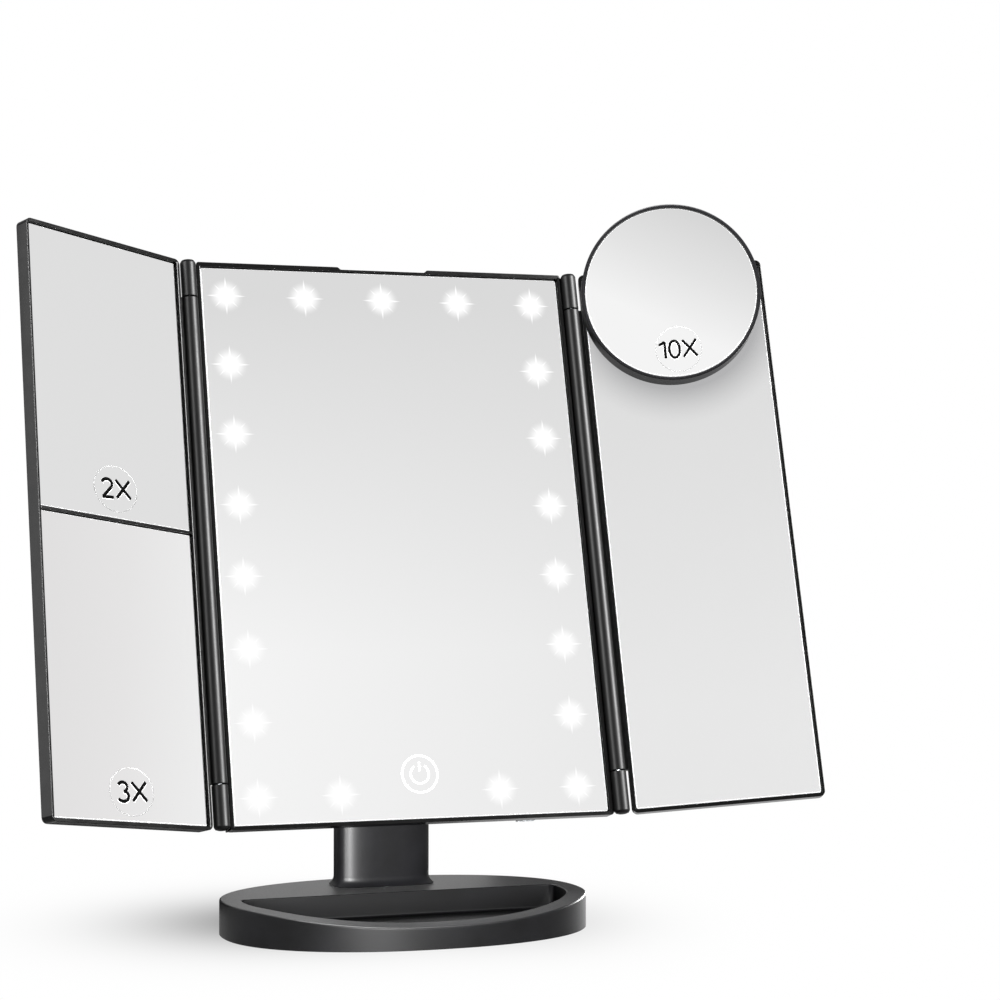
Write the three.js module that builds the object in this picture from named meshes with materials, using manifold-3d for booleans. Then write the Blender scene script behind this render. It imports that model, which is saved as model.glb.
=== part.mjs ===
// Lighted folding makeup mirror: oval tray base, column, tilting lit centre mirror,
// two hinged side mirrors and a round magnifying mirror held by a suction cup.
// Millimetres, +Z up, front towards -Y, origin under the centre of the base.
import * as THREE from 'three';
import { mergeVertices } from 'three/addons/utils/BufferGeometryUtils.js';
import Module from 'manifold-3d';

const wasm = await Module();
wasm.setup();

// General
const fit = 0.3; // clearance between seated pieces
const wall = 2; // moulded wall
const lip = 1.2; // frames stand this proud of their glass
const glassThickness = 2.5;
const glassBevel = 0.7;
const edgeRound = 1; // corners of the frame's and the battery bay's outlines

// Pose in which the object stands
const lean = 15; // degrees, top of the centre mirror back from upright
const leftSwing = 30; // degrees, wings forward from flat
const rightSwing = 20;

// Centre mirror
const glassWidth = 159.6;
const glassHeight = 235;
const bandSide = 1.9; // glass edge to the outer face of the frame
const bandTop = 2.1;
const bandBottom = 1.8;
const notchWidth = 40; // finger recess in the top edge
const notchDepth = 1.1;
const notchSlope = 1.2;
const ledgeWidth = 4; // ledge behind the glass edge
const ledgeThickness = 1.6;
const seam = 5; // depth of the joint line between front frame and back shell
const bodyDepth = 13.8; // glass face to the outside of the back shell
const rearChamfer = 2;
const rearDraft = 0.9; // the shell narrows by this before its chamfer

// Lights and electronics
const ledInset = 11.5; // from the glass edge to the row of lights
const ledsAcross = 5;
const ledsDown = 8;
const ledSize = 3.4;
const ledHeight = 1.2;
const stripWidth = 6;
const stripThickness = 0.6;
const touchHeight = 18.2; // touch sensor centre above the lower glass edge
const touchRadius = 7;
const boardThickness = 1.2;
const touchBoardWidth = 24;
const touchBoardHeight = 18;
const mainBoardInset = 33.8; // side edge of the glass to the middle of the main board
const mainBoardWidth = 32;
const mainBoardHeight = 40;
const mainBoardDepth = 6;
const boardPostRadius = 2;
const chipSize = 6;
const chipHeight = 1.4;
const socketWidth = 7.6;
const socketHeight = 2.8;
const socketLength = 5.6;
const socketShell = 0.4;
const socketTongue = 0.6;
const switchRise = 29; // switch centre above the lower edge of the back shell
const switchWidth = 9;
const switchDepthZ = 5;
const switchTall = 3.6;
const switchTravel = 3;
const stemDepth = 2;
const stemHalf = 1.2;
const knobWidth = 5;
const knobHeight = 4;
const knobProud = 0.9;
const knobGrooves = [-1.4, 0, 1.4];
const knobGrooveHalf = 0.3;
const knobGrooveDepth = 0.4;

// Battery bay
const cellRadius = 7.1;
const cellLength = 49.5;
const nubRadius = 2.7;
const nubLength = 1;
const cellGap = 0.5;
const cellCount = 4;
const bayBottom = 2; // inside of the bay's lower wall above the glass centre
const bayFloorDepth = 5.6;
const bayFloor = 1.3;
const bayWall = 2;
const plateThickness = 0.6;
const plateHalfDepth = 6;
const springLength = 4.6;
const springTurns = 3;
const springWire = 0.7;
const springWide = 3.6;
const springNarrow = 2.2;
const bumpLength = 1;
const doorThickness = 1.8;
const doorSkirt = 1.6;
const doorRibs = 5;
const doorRibPitch = 2.4;
const doorRibHalf = 12; // half length
const doorRibHeight = 0.6;
const doorRibStart = 7;

// Wings
const wingGlassWidth = 77.6;
const wingThickness = 6.7;
const wingBand = 1.5; // outer side band
const wingEndBand = 1.8; // top and bottom bands
const wingInnerEdge = 4.4; // hinge axis to the frame's inner edge
const wingGlassStart = 6.2; // hinge axis to the glass
const wingCorner = 2.4;
const dividerWidth = 1.2;
const dividerZ = 1.3; // centre of the bar between the two left panes

// Wing hinges
const hingeGap = 3.7; // side face of the centre frame to the hinge axis
const hingeForward = 1.5; // axis in front of the glass plane
const barrelRadius = 3.3;
const topKnuckle = 16.5;
const bottomKnuckle = 18;
const domeHeight = 1.2;
const coverLip = 1.2; // lip of the frame behind each barrel, closes the gap beside it
const domeShares = [[0.88, 0.45], [0.6, 0.1]]; // of the radius and of the dome's drop
const bridgeThickness = 3.6;
const wingPinRadius = 1.2;
const wingPinHalf = 8;

// Magnifying mirror on its suction cup
const spotAlong = 43; // hinge axis to the cup centre
const spotUp = 103.1; // glass centre to the cup centre
const spotDroop = 7; // degrees, the soft cup lets the mirror hang forward
const spotRadius = 38.4;
const spotBackRadius = 38;
const spotDepth = 13;
const spotRim = 1.2;
const spotGlassRecess = 0.6;
const spotLedge = 3.5;
const spotDish = 1.1; // hollow of the magnifying glass
const spotDishRings = 2;
const spotEdge = 0.5;
const cupRadius = 13.8;
const cupHeight = 7;
const cupNeckRadius = 3.6;
const cupHeadRadius = 6;
const cupHeadThickness = 1.5;

// Stick-on magnification labels
const wingLabelHalf = [11.3, 9.6]; // half width and half height
const spotLabelHalf = [10, 10];
const labelThickness = 0.3;
const leftLabelX = 45.1; // from the hinge axis
const upperLabelRise = 11.6; // above the lower edge of its pane
const lowerLabelRise = 11.4;
const spotLabelX = 0.9;
const spotLabelDrop = 25.3;

// Tilt hinge
const pivotFromRear = 22.9; // rear edge of the base to the tilt axis
const pivotZ = 122;
const pivotBehind = 40.6; // behind the glass plane
const pivotBelow = 31.2; // below the glass centre
const earThickness = 5;
const earRadius = 9;
const earFoot = 20; // half height of the ear where it leaves the shell
const washerThickness = 1;
const washerRadius = 8;
const tiltPinRadius = 3;
const tiltHeadRadius = 5;
const tiltHeadThickness = 2.4;
const nutThickness = 3;

// Neck
const neckWidth = 40;
const neckDepth = 20;
const neckFlare = 2;
const neckFlareHeight = 4;
const neckPower = 5; // superellipse exponent of the column's section
const neckWall = 2.4;
const neckFloor = 3;
const neckScrewHeights = [48, 92];
const neckFootScrewOffset = 5;
const footScrewLength = 9;

// Base
const baseHalfWidth = 77.3;
const baseHalfDepth = 55.3;
const basePower = 2.2;
const baseHeight = 14.6;
const baseFrontDrop = 5.5;
const baseDropStart = -18; // the top slopes down in front of this line
const baseDropPower = 1.7;
const baseTopWall = 2;
const skirtWall = 2.2;
const skirtBottom = 0.2;
const padThickness = 0.6;
const coverThickness = 1.2;
const trayBackY = 7;
const trayRimSide = 8.4;
const trayRimFront = 6;
const trayFloor = 2;
const trayCorner = 5;
const weightThickness = 6.5;
const coverScrewSide = 25.3; // from the base's end
const coverScrewRear = 8.8; // from the base's rear
const coverScrewY = 22; // side screws

// Facets of round pieces
const broadSides = 36;
const mediumSides = 18;
const smallSides = 10;
const baseSides = 48;
const neckSides = 28;

// Screws
const screwRadius = 1.1;
const screwHeadRadius = 2.2;
const screwHeadHeight = 1.5;
const headSink = 4; // wells of the screw heads
const neckScrewLength = 12;
const bossRadius = 3.4;

// Colours and finishes
const finish = (color, roughness, metalness = 0) => ({ color, roughness, metalness });
const glossBlack = finish('#141417', 0.22);
const satinCharcoal = finish('#343438', 0.42);
const silvered = finish('#e6e8ea', 0.04, 1);
const steel = finish('#b9bcc0', 0.3, 1);
const brass = finish('#c9a75a', 0.35, 1);
const circuitGreen = finish('#1f5a3a', 0.5);
const stripWhite = finish('#f1f1ec', 0.45);
const cellWrap = finish('#3d5a80', 0.35);
const clearFilm = finish('#f4f6f8', 0.15);
const clearRubber = finish('#dfe5e8', 0.3);
const padFoam = finish('#1d1d1f', 0.95);

const radians = THREE.MathUtils.degToRad;

// Places that several pieces share
const pivotY = baseHalfDepth - pivotFromRear;
const halfGlassWidth = glassWidth / 2;
const halfGlassHeight = glassHeight / 2;
const frameHalfWidth = halfGlassWidth + bandSide;
const hingeX = frameHalfWidth + hingeGap;
const mainBoardX = halfGlassWidth - mainBoardInset;
const frameTop = halfGlassHeight + bandTop;
const frameBottom = -halfGlassHeight - bandBottom;
const glassBack = glassThickness + fit;
const ledgeBack = glassBack + ledgeThickness;
const shellFront = seam + fit;
const shellInside = bodyDepth - wall;
const stripFront = glassBack + ledHeight;
const ledX = halfGlassWidth - ledInset;
const ledZ = halfGlassHeight - ledInset;
const touchZ = touchHeight - halfGlassHeight;
const cornerScrewX = halfGlassWidth - ledgeWidth + fit;
const cornerScrewZ = halfGlassHeight - ledgeWidth + fit;
const boardRear = mainBoardDepth + boardThickness;
const boardBottom = frameBottom + wall + rearDraft + 2 * fit;
const switchZ = frameBottom + switchRise;
const switchFront = boardRear + fit;
const knobX = mainBoardX - switchTravel / 2;
const cellPitch = 2 * cellRadius + cellGap;
const bayHalfWidth = cellPitch * (cellCount - 1) / 2 + cellRadius + fit;
const cellBottom = bayBottom + fit + plateThickness + springLength + fit;
const bayTop = cellBottom + cellLength + nubLength + 2 * fit + bumpLength + plateThickness;
const cellY = bayFloorDepth + bayFloor + fit + cellRadius;
const bayRim = cellY + cellRadius + fit;
const cellTopEnd = bayBottom + bayTop - cellBottom; // the lower contacts mirrored
const cellX = (i) => cellPitch * (i - (cellCount - 1) / 2);
const doorFront = bayRim + fit;
const doorBack = doorFront + doorThickness;
const knuckleTop = frameTop + fit;
const topSeam = knuckleTop - topKnuckle;
const bottomSeam = frameBottom + bottomKnuckle;
const wingGlassEnd = wingGlassStart + wingGlassWidth;
const wingOuterEdge = wingGlassEnd + wingBand;
const wingHalfHeight = halfGlassHeight + wingEndBand;
const wingFront = hingeForward - lip;
const wingBack = wingFront + wingThickness;
const earInside = neckWidth / 2 + washerThickness + 2 * fit;
const earOutside = earInside + earThickness;
const coverScrewSpots = [
  [-baseHalfWidth + coverScrewSide, coverScrewY],
  [baseHalfWidth - coverScrewSide, coverScrewY],
  [0, baseHalfDepth - coverScrewRear],
];
const coverBottom = padThickness + fit;
const coverTop = coverBottom + coverThickness;
const trayUnder = coverTop + fit;
const trayFloorTop = trayUnder + trayFloor;
const cavityTop = baseHeight - baseTopWall;
const neckBottom = baseHeight + fit;

// Solids that can be joined and cut
function solid(geometry) {
  const bare = geometry.clone();
  bare.deleteAttribute('normal');
  bare.deleteAttribute('uv');
  const merged = mergeVertices(bare, 1e-4);
  const vertProperties = Float32Array.from(merged.attributes.position.array);
  const triVerts = Uint32Array.from(merged.index.array);
  return new wasm.Manifold(new wasm.Mesh({ numProp: 3, vertProperties, triVerts }));
}

function join(first, ...others) {
  return others.reduce((sum, other) => sum.add(other), first);
}

function cut(first, ...others) {
  return others.reduce((rest, other) => rest.subtract(other), first);
}

function geometryOf(body) {
  const mesh = body.getMesh();
  const geometry = new THREE.BufferGeometry();
  geometry.setAttribute('position', new THREE.BufferAttribute(mesh.vertProperties, 3));
  geometry.setIndex(new THREE.BufferAttribute(mesh.triVerts, 1));
  geometry.computeVertexNormals();
  return geometry;
}

function piece(parent, name, body, look) {
  const material = new THREE.MeshStandardMaterial(look);
  const mesh = new THREE.Mesh(geometryOf(body), material);
  mesh.name = name;
  parent.add(mesh);
  return mesh;
}

// Outlines
function roundedRect(u0, u1, v0, v1, radius) {
  const [a, b] = [Math.min(u0, u1), Math.max(u0, u1)];
  const shape = new THREE.Shape();
  if (radius <= 0) {
    shape.moveTo(a, v0);
    shape.lineTo(b, v0);
    shape.lineTo(b, v1);
    shape.lineTo(a, v1);
    return shape;
  }
  shape.moveTo(a + radius, v0);
  shape.absarc(b - radius, v0 + radius, radius, -Math.PI / 2, 0);
  shape.absarc(b - radius, v1 - radius, radius, 0, Math.PI / 2);
  shape.absarc(a + radius, v1 - radius, radius, Math.PI / 2, Math.PI);
  shape.absarc(a + radius, v0 + radius, radius, Math.PI, 1.5 * Math.PI);
  return shape;
}

function polygon(points) {
  return new THREE.Shape(points.map(([u, v]) => new THREE.Vector2(u, v)));
}

function superellipse(halfU, halfV, power, count) {
  const bend = (value) => Math.sign(value) * Math.abs(value) ** (2 / power);
  return Array.from({ length: count }, (_, i) => {
    const angle = 2 * Math.PI * i / count;
    return [halfU * bend(Math.cos(angle)), halfV * bend(Math.sin(angle))];
  });
}

// Extrusions along each axis, with the outline in the other two
function extrude(shape, depth, curveSegments) {
  return new THREE.ExtrudeGeometry(shape, { depth, bevelEnabled: false, curveSegments });
}

function slabZ(shape, z0, z1, curveSegments = 6) {
  return solid(extrude(shape, z1 - z0, curveSegments).translate(0, 0, z0));
}

function slabY(shape, y0, y1, curveSegments = 6) {
  return solid(extrude(shape, y1 - y0, curveSegments).rotateX(Math.PI / 2).translate(0, y1, 0));
}

function slabX(shape, x0, x1, curveSegments = 6) {
  const turn = new THREE.Matrix4().makeBasis(
    new THREE.Vector3(0, 1, 0),
    new THREE.Vector3(0, 0, 1),
    new THREE.Vector3(1, 0, 0),
  );
  return solid(extrude(shape, x1 - x0, curveSegments).applyMatrix4(turn).translate(x0, 0, 0));
}

function block(x0, x1, y0, y1, z0, z1) {
  const size = [x0 - x1, y1 - y0, z1 - z0].map(Math.abs);
  const geometry = new THREE.BoxGeometry(...size);
  return solid(geometry.translate((x0 + x1) / 2, (y0 + y1) / 2, (z0 + z1) / 2));
}

function rodZ(radius, z0, z1, x = 0, y = 0, sides = mediumSides, topRadius = radius) {
  const geometry = new THREE.CylinderGeometry(topRadius, radius, z1 - z0, sides);
  return solid(geometry.rotateX(Math.PI / 2).translate(x, y, (z0 + z1) / 2));
}

function rodY(radius, y0, y1, x = 0, z = 0, sides = mediumSides) {
  const geometry = new THREE.CylinderGeometry(radius, radius, y1 - y0, sides);
  return solid(geometry.translate(x, (y0 + y1) / 2, z));
}

function rodX(radius, x0, x1, y = 0, z = 0, sides = mediumSides) {
  const geometry = new THREE.CylinderGeometry(radius, radius, x1 - x0, sides);
  return solid(geometry.rotateZ(-Math.PI / 2).translate((x0 + x1) / 2, y, z));
}

// Turned body about the Y axis from [radius, y] pairs that start and end on the axis, or
// close on themselves; the pairs may run either way round
function turnedY(profile, x = 0, z = 0, sides = mediumSides) {
  const twiceArea = profile.reduce((sum, [radius, y], i) => {
    const [nextRadius, nextY] = profile[(i + 1) % profile.length];
    return sum + radius * nextY - nextRadius * y;
  }, 0);
  const ordered = twiceArea > 0 ? profile : profile.toReversed();
  const points = ordered.map(([radius, y]) => new THREE.Vector2(radius, y));
  return solid(new THREE.LatheGeometry(points, sides).translate(x, 0, z));
}

// Closed body through rings of equal count, each [points, z]
function loft(rings) {
  const count = rings[0][0].length;
  const corners = rings.flatMap(([points, z]) => points.map(([x, y]) => [x, y, z]));
  const index = [];
  for (let level = 0; level + 1 < rings.length; level += 1) {
    for (let i = 0; i < count; i += 1) {
      const next = (i + 1) % count;
      const [a, b] = [level * count + i, level * count + next];
      index.push(a, b, b + count, a, b + count, a + count);
    }
  }
  const lastRing = (rings.length - 1) * count;
  for (let i = 1; i + 1 < count; i += 1) {
    index.push(0, i + 1, i);
    index.push(lastRing, lastRing + i, lastRing + i + 1);
  }
  const geometry = new THREE.BufferGeometry();
  geometry.setAttribute('position', new THREE.Float32BufferAttribute(corners.flat(), 3));
  geometry.setIndex(index);
  return solid(geometry);
}

// Screw along Y: its head's outer face at y, the shank towards smaller y
function screwY(x, y, z, length) {
  const under = y - screwHeadHeight;
  return turnedY([
    [0, under - length],
    [screwRadius, under - length],
    [screwRadius, under],
    [screwHeadRadius, under],
    [screwHeadRadius, y],
    [0, y],
  ], x, z, smallSides);
}

// Screw along Z: its head's outer face at z, the shank upwards, head flat or countersunk
function screwZ(x, y, z, length, sunk = false) {
  const head = sunk
    ? rodZ(screwHeadRadius, z, z + coverThickness, x, y, smallSides, screwRadius)
    : rodZ(screwHeadRadius, z, z + screwHeadHeight, x, y, smallSides);
  const start = z + (sunk ? coverThickness : screwHeadHeight) - 0.1;
  return join(head, rodZ(screwRadius, start, start + length, x, y, smallSides));
}

// Centre mirror: everything below is in its own frame, with the origin at the middle of
// the glass face, +Y to the rear and +Z along the glass
function ringOfLights() {
  const across = Array.from({ length: ledsAcross }, (_, i) => -ledX + 2 * ledX * i / (ledsAcross - 1));
  const down = Array.from({ length: ledsDown - 2 }, (_, i) => ledZ - 2 * ledZ * (i + 1) / (ledsDown - 1));
  const middle = (ledsAcross - 1) / 2;
  return [
    ...across.map((x) => [x, ledZ]),
    ...down.flatMap((z) => [[-ledX, z], [ledX, z]]),
    ...across.filter((_, i) => i !== middle).map((x) => [x, -ledZ]),
  ];
}

function frameRing(halfWidth, top, bottom, inner, y0, y1) {
  const outer = slabY(roundedRect(-halfWidth, halfWidth, bottom, top, edgeRound), y0, y1, 3);
  const [innerX, innerZ] = inner;
  return cut(outer, block(-innerX, innerX, y0 - 1, y1 + 1, -innerZ, innerZ));
}

function endKnuckle(side, z0, z1, domeUp) {
  const [flat, round] = domeUp ? [z0, z1] : [z1, z0];
  const rounding = domeUp ? -domeHeight : domeHeight;
  const turned = turnedY([
    [0, flat],
    [barrelRadius, flat],
    [barrelRadius, round + rounding],
    ...domeShares.map(([wide, drop]) => [barrelRadius * wide, round + rounding * drop]),
    [0, round],
  ], 0, 0, mediumSides);
  const upright = geometryOf(turned).rotateX(Math.PI / 2);
  const barrel = solid(upright.translate(side * hingeX, -hingeForward, 0));
  const flangeEnd = domeUp ? Math.min(z1, frameTop) - domeHeight : z1;
  const flangeStart = domeUp ? z0 : Math.max(z0, frameBottom) + domeHeight;
  const flange = block(
    side * (frameHalfWidth - 1),
    side * hingeX,
    -lip + 0.2,
    -lip + 0.2 + bridgeThickness,
    flangeStart,
    flangeEnd,
  );
  return join(barrel, flange);
}

function hingeLip(side) {
  const front = barrelRadius - hingeForward + fit;
  return block(
    side * (frameHalfWidth - 1),
    side * (hingeX - hingeForward + fit),
    front,
    front + coverLip,
    bottomSeam - 1,
    topSeam + 1,
  );
}

function pinHole(side, z) {
  const reach = wingPinHalf + fit;
  return rodZ(wingPinRadius + fit / 2, z - reach, z + reach, side * hingeX, -hingeForward, smallSides);
}

function frontFrame() {
  const opening = [halfGlassWidth + fit, halfGlassHeight + fit];
  const ledge = [halfGlassWidth - ledgeWidth, halfGlassHeight - ledgeWidth];
  let body = join(
    frameRing(frameHalfWidth, frameTop, frameBottom, opening, -lip, seam),
    frameRing(frameHalfWidth - 0.5, frameTop - 0.5, frameBottom + 0.5, ledge, glassBack, ledgeBack),
  );
  const half = notchWidth / 2;
  const floor = frameTop - notchDepth;
  const notch = slabY(polygon([
    [-half + notchSlope, floor],
    [half - notchSlope, floor],
    [half + notchSlope, frameTop + notchDepth],
    [-half - notchSlope, frameTop + notchDepth],
  ]), -lip - 1, seam + 1);
  body = cut(body, notch);
  for (const side of [-1, 1]) {
    body = join(
      body,
      endKnuckle(side, topSeam, knuckleTop, true),
      endKnuckle(side, frameBottom, bottomSeam, false),
      hingeLip(side),
    );
    for (const end of [-1, 1]) {
      const [x, z] = [side * cornerScrewX, end * cornerScrewZ];
      const gusset = block(
        side * (cornerScrewX - bossRadius),
        side * (frameHalfWidth - 0.5),
        glassBack,
        seam,
        end * (cornerScrewZ - bossRadius),
        end * (halfGlassHeight + 2 * fit),
      );
      body = join(body, gusset);
      body = cut(body, rodY(screwRadius + fit / 2, glassBack + fit, seam + 1, x, z, smallSides));
    }
    body = cut(body, pinHole(side, topSeam), pinHole(side, bottomSeam));
  }
  return body;
}

// Flat mirror with its front edge ground to a bevel and its rear face at the depth given
function bevelledGlass(u0, u1, z0, z1, back) {
  const [a, b] = [Math.min(u0, u1), Math.max(u0, u1)];
  const face = roundedRect(a + glassBevel, b - glassBevel, z0 + glassBevel, z1 - glassBevel, 0);
  const geometry = new THREE.ExtrudeGeometry(face, {
    depth: glassThickness - glassBevel,
    bevelThickness: glassBevel,
    bevelSize: glassBevel,
    bevelSegments: 1,
  });
  const plate = solid(geometry.rotateX(Math.PI / 2).translate(0, back, 0));
  return cut(plate, block(a - 1, b + 1, back, back + glassThickness, z0 - 1, z1 + 1));
}

function mainMirror() {
  const [x, z] = [halfGlassWidth, halfGlassHeight];
  return bevelledGlass(-x, x, -z, z, glassThickness);
}

function ledStrip() {
  const half = stripWidth / 2;
  const stripBack = stripFront + stripThickness;
  const outer = roundedRect(-ledX - half, ledX + half, -ledZ - half, ledZ + half, edgeRound);
  const inner = roundedRect(-ledX + half, ledX - half, -ledZ + half, ledZ - half, 0);
  let strip = cut(slabY(outer, stripFront, stripBack, 3), slabY(inner, stripFront - 1, stripBack + 1));
  for (const [x, z] of ringOfLights()) {
    const reach = ledSize / 2;
    strip = join(strip, block(x - reach, x + reach, glassBack, stripFront + 0.1, z - reach, z + reach));
  }
  // the row of lights leaves the middle of the lower run free for the touch sensor
  const gap = touchBoardWidth / 2 + 2 * fit;
  return cut(strip, block(-gap, gap, glassBack - 1, stripBack + 1, -ledZ - 2 * half, -ledZ + 2 * half));
}

function touchBoard() {
  const back = stripFront + boardThickness;
  const [halfWide, halfTall] = [touchBoardWidth / 2, touchBoardHeight / 2];
  const board = block(-halfWide, halfWide, stripFront, back, touchZ - halfTall, touchZ + halfTall);
  return join(board, rodY(touchRadius, glassBack, stripFront + 0.1, 0, touchZ));
}

function socketPlace() {
  const front = boardRear + fit;
  return { front, back: front + socketHeight, mouth: frameBottom + fit };
}

function mainBoard() {
  const [x0, x1] = [mainBoardX - mainBoardWidth / 2, mainBoardX + mainBoardWidth / 2];
  const board = block(x0, x1, mainBoardDepth, boardRear, boardBottom, boardBottom + mainBoardHeight);
  const [chipX, chipZ] = [x0 + chipSize / 2, boardBottom + mainBoardHeight - 2 * chipSize];
  return join(board, block(
    chipX,
    chipX + chipSize,
    boardRear - 0.1,
    boardRear + chipHeight,
    chipZ,
    chipZ + chipSize,
  ));
}

function usbSocket() {
  const { front, back, mouth } = socketPlace();
  const [x0, x1] = [mainBoardX - socketWidth / 2, mainBoardX + socketWidth / 2];
  const shell = block(x0, x1, front, back, mouth, mouth + socketLength);
  const hollow = block(
    x0 + socketShell,
    x1 - socketShell,
    front + socketShell,
    back - socketShell,
    mouth - 1,
    mouth + socketLength - socketShell,
  );
  const middle = (front + back) / 2;
  const tongue = block(
    x0 + 2,
    x1 - 2,
    middle - socketTongue / 2,
    middle + socketTongue / 2,
    mouth + 0.8,
    mouth + socketLength - 0.1,
  );
  return join(cut(shell, hollow), tongue);
}

function switchBody() {
  const back = switchFront + switchTall;
  const [halfWide, halfTall] = [switchWidth / 2, switchDepthZ / 2];
  const can = block(
    mainBoardX - halfWide,
    mainBoardX + halfWide,
    switchFront,
    back,
    switchZ - halfTall,
    switchZ + halfTall,
  );
  const slotHalf = halfWide - 1;
  const slot = block(
    mainBoardX - slotHalf,
    mainBoardX + slotHalf,
    back - stemDepth - fit,
    back + 1,
    switchZ - halfTall / 2 - fit,
    switchZ + halfTall / 2 + fit,
  );
  return cut(can, slot);
}

function switchKnob() {
  const can = switchFront + switchTall;
  const [halfWide, halfTall] = [knobWidth / 2, knobHeight / 2];
  const stem = block(
    knobX - stemHalf,
    knobX + stemHalf,
    can - stemDepth,
    can + fit + 0.2,
    switchZ - switchDepthZ / 4,
    switchZ + switchDepthZ / 4,
  );
  let knob = join(stem, block(
    knobX - halfWide,
    knobX + halfWide,
    can + fit,
    bodyDepth + knobProud,
    switchZ - halfTall,
    switchZ + halfTall,
  ));
  const [z0, z1] = [switchZ - halfTall - 1, switchZ + halfTall + 1];
  for (const step of knobGrooves) {
    const x = knobX + step;
    const y = bodyDepth + knobProud - knobGrooveDepth;
    knob = cut(knob, block(x - knobGrooveHalf, x + knobGrooveHalf, y, y + 1, z0, z1));
  }
  return knob;
}

function earProfile() {
  const root = shellInside + 0.2;
  const shape = new THREE.Shape();
  shape.moveTo(root, -pivotBelow - earFoot);
  shape.lineTo(bodyDepth + 1, -pivotBelow - earFoot);
  shape.lineTo(pivotBehind - earRadius * 0.3, -pivotBelow - earRadius);
  shape.absarc(pivotBehind, -pivotBelow, earRadius, -Math.PI / 2, Math.PI / 2);
  shape.lineTo(bodyDepth + 1, -pivotBelow + earFoot);
  shape.lineTo(root, -pivotBelow + earFoot);
  return shape;
}

function bayBox() {
  const [x, z0, z1] = [bayHalfWidth + bayWall, bayBottom - bayWall, bayTop + bayWall];
  const shelf = slabY(roundedRect(-x, x, z0, z1, edgeRound), bayFloorDepth, bayRim, 3);
  const stop = block(-x - doorSkirt - fit, x + doorSkirt + fit, bodyDepth - 1, doorBack, z0 - bayWall, z0);
  return join(shelf, stop);
}

function bayHollow() {
  const floor = bayFloorDepth + bayFloor;
  return block(-bayHalfWidth, bayHalfWidth, floor, bayRim + 1, bayBottom, bayTop);
}

function backShell() {
  const cornerTop = frameTop - 0.2;
  const cornerBottom = frameBottom + 0.2;
  const rim = (inset) => {
    const [x, top, bottom] = [frameHalfWidth - inset, cornerTop - inset, cornerBottom + inset];
    return [[-x, bottom], [x, bottom], [x, top], [-x, top]];
  };
  const outerRings = [
    [rim(rearDraft + rearChamfer), -bodyDepth],
    [rim(rearDraft), -bodyDepth + rearChamfer],
    [rim(0), -shellFront],
  ];
  const innerRings = [
    [rim(wall + rearDraft + rearChamfer), -shellInside],
    [rim(wall + rearDraft), -shellInside + rearChamfer],
    [rim(wall), -shellFront + 1],
  ];
  // the rings stand on Z; a quarter turn lays them on the depth axis
  const lay = (rings) => {
    const geometry = geometryOf(loft(rings));
    return solid(geometry.rotateX(Math.PI / 2));
  };
  let body = cut(lay(outerRings), lay(innerRings));
  for (const side of [-1, 1]) {
    for (const end of [-1, 1]) {
      const [x, z] = [side * cornerScrewX, end * cornerScrewZ];
      body = join(body, rodY(bossRadius, shellFront, shellInside + 0.5, x, z, smallSides));
    }
    body = join(body, slabX(
      earProfile(),
      side > 0 ? earInside : -earOutside,
      side > 0 ? earOutside : -earInside,
      12,
    ));
  }
  const postRise = boardBottom + mainBoardHeight - 2 * boardPostRadius;
  for (const side of [-1, 1]) {
    const x = mainBoardX + side * (mainBoardWidth / 2 - 2 * boardPostRadius);
    body = join(body, rodY(boardPostRadius, boardRear + fit, shellInside + 0.5, x, postRise, smallSides));
  }
  body = join(body, bayBox());
  const earEnd = earOutside + 1;
  const pinBore = rodX(tiltPinRadius + fit / 2, -earEnd, earEnd, pivotBehind, -pivotBelow);
  body = cut(body, bayHollow(), pinBore);
  for (const side of [-1, 1]) {
    for (const end of [-1, 1]) {
      const [x, z] = [side * cornerScrewX, end * cornerScrewZ];
      body = cut(
        body,
        rodY(screwRadius + fit, shellFront - 1, bodyDepth, x, z, smallSides),
        rodY(screwHeadRadius + fit, bodyDepth - headSink, bodyDepth + 1, x, z, smallSides),
      );
    }
  }
  const { front, back, mouth } = socketPlace();
  const socketGap = block(
    mainBoardX - socketWidth / 2 - fit,
    mainBoardX + socketWidth / 2 + fit,
    front - fit,
    back + fit,
    mouth - 3,
    mouth + wall + 2,
  );
  const slotHalf = (knobWidth + switchTravel) / 2 + fit;
  const switchGap = block(
    mainBoardX - slotHalf,
    mainBoardX + slotHalf,
    shellInside - 1,
    bodyDepth + 1,
    switchZ - knobHeight / 2 - fit,
    switchZ + knobHeight / 2 + fit,
  );
  return cut(body, socketGap, switchGap);
}

function batteryDoor() {
  const inside = bayHalfWidth + bayWall + fit;
  const outside = inside + doorSkirt;
  const z0 = bayBottom - bayWall + fit;
  const z1 = bayTop + bayWall + fit + doorSkirt;
  const skirtEnd = bodyDepth + fit;
  const cover = slabY(roundedRect(-outside, outside, z0, z1, 0), skirtEnd, doorBack);
  const hollow = block(-inside, inside, skirtEnd - 1, doorFront, z0 - 1, z1 - doorSkirt);
  let door = cut(cover, hollow);
  for (let i = 0; i < doorRibs; i += 1) {
    const z = z0 + doorRibStart + i * doorRibPitch;
    const [y0, y1] = [doorBack - 0.1, doorBack + doorRibHeight];
    door = join(door, block(-doorRibHalf, doorRibHalf, y0, y1, z - 0.5, z + 0.5));
  }
  return door;
}

function cell(i) {
  const up = i % 2 === 0;
  const x = cellX(i);
  const [z0, z1] = up
    ? [cellBottom, cellBottom + cellLength]
    : [cellTopEnd - cellLength, cellTopEnd];
  const nub = up
    ? rodZ(nubRadius, z1 - 0.1, z1 + nubLength, x, cellY, smallSides)
    : rodZ(nubRadius, z0 - nubLength, z0 + 0.1, x, cellY, smallSides);
  return join(rodZ(cellRadius, z0, z1, x, cellY, mediumSides), nub);
}

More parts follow.
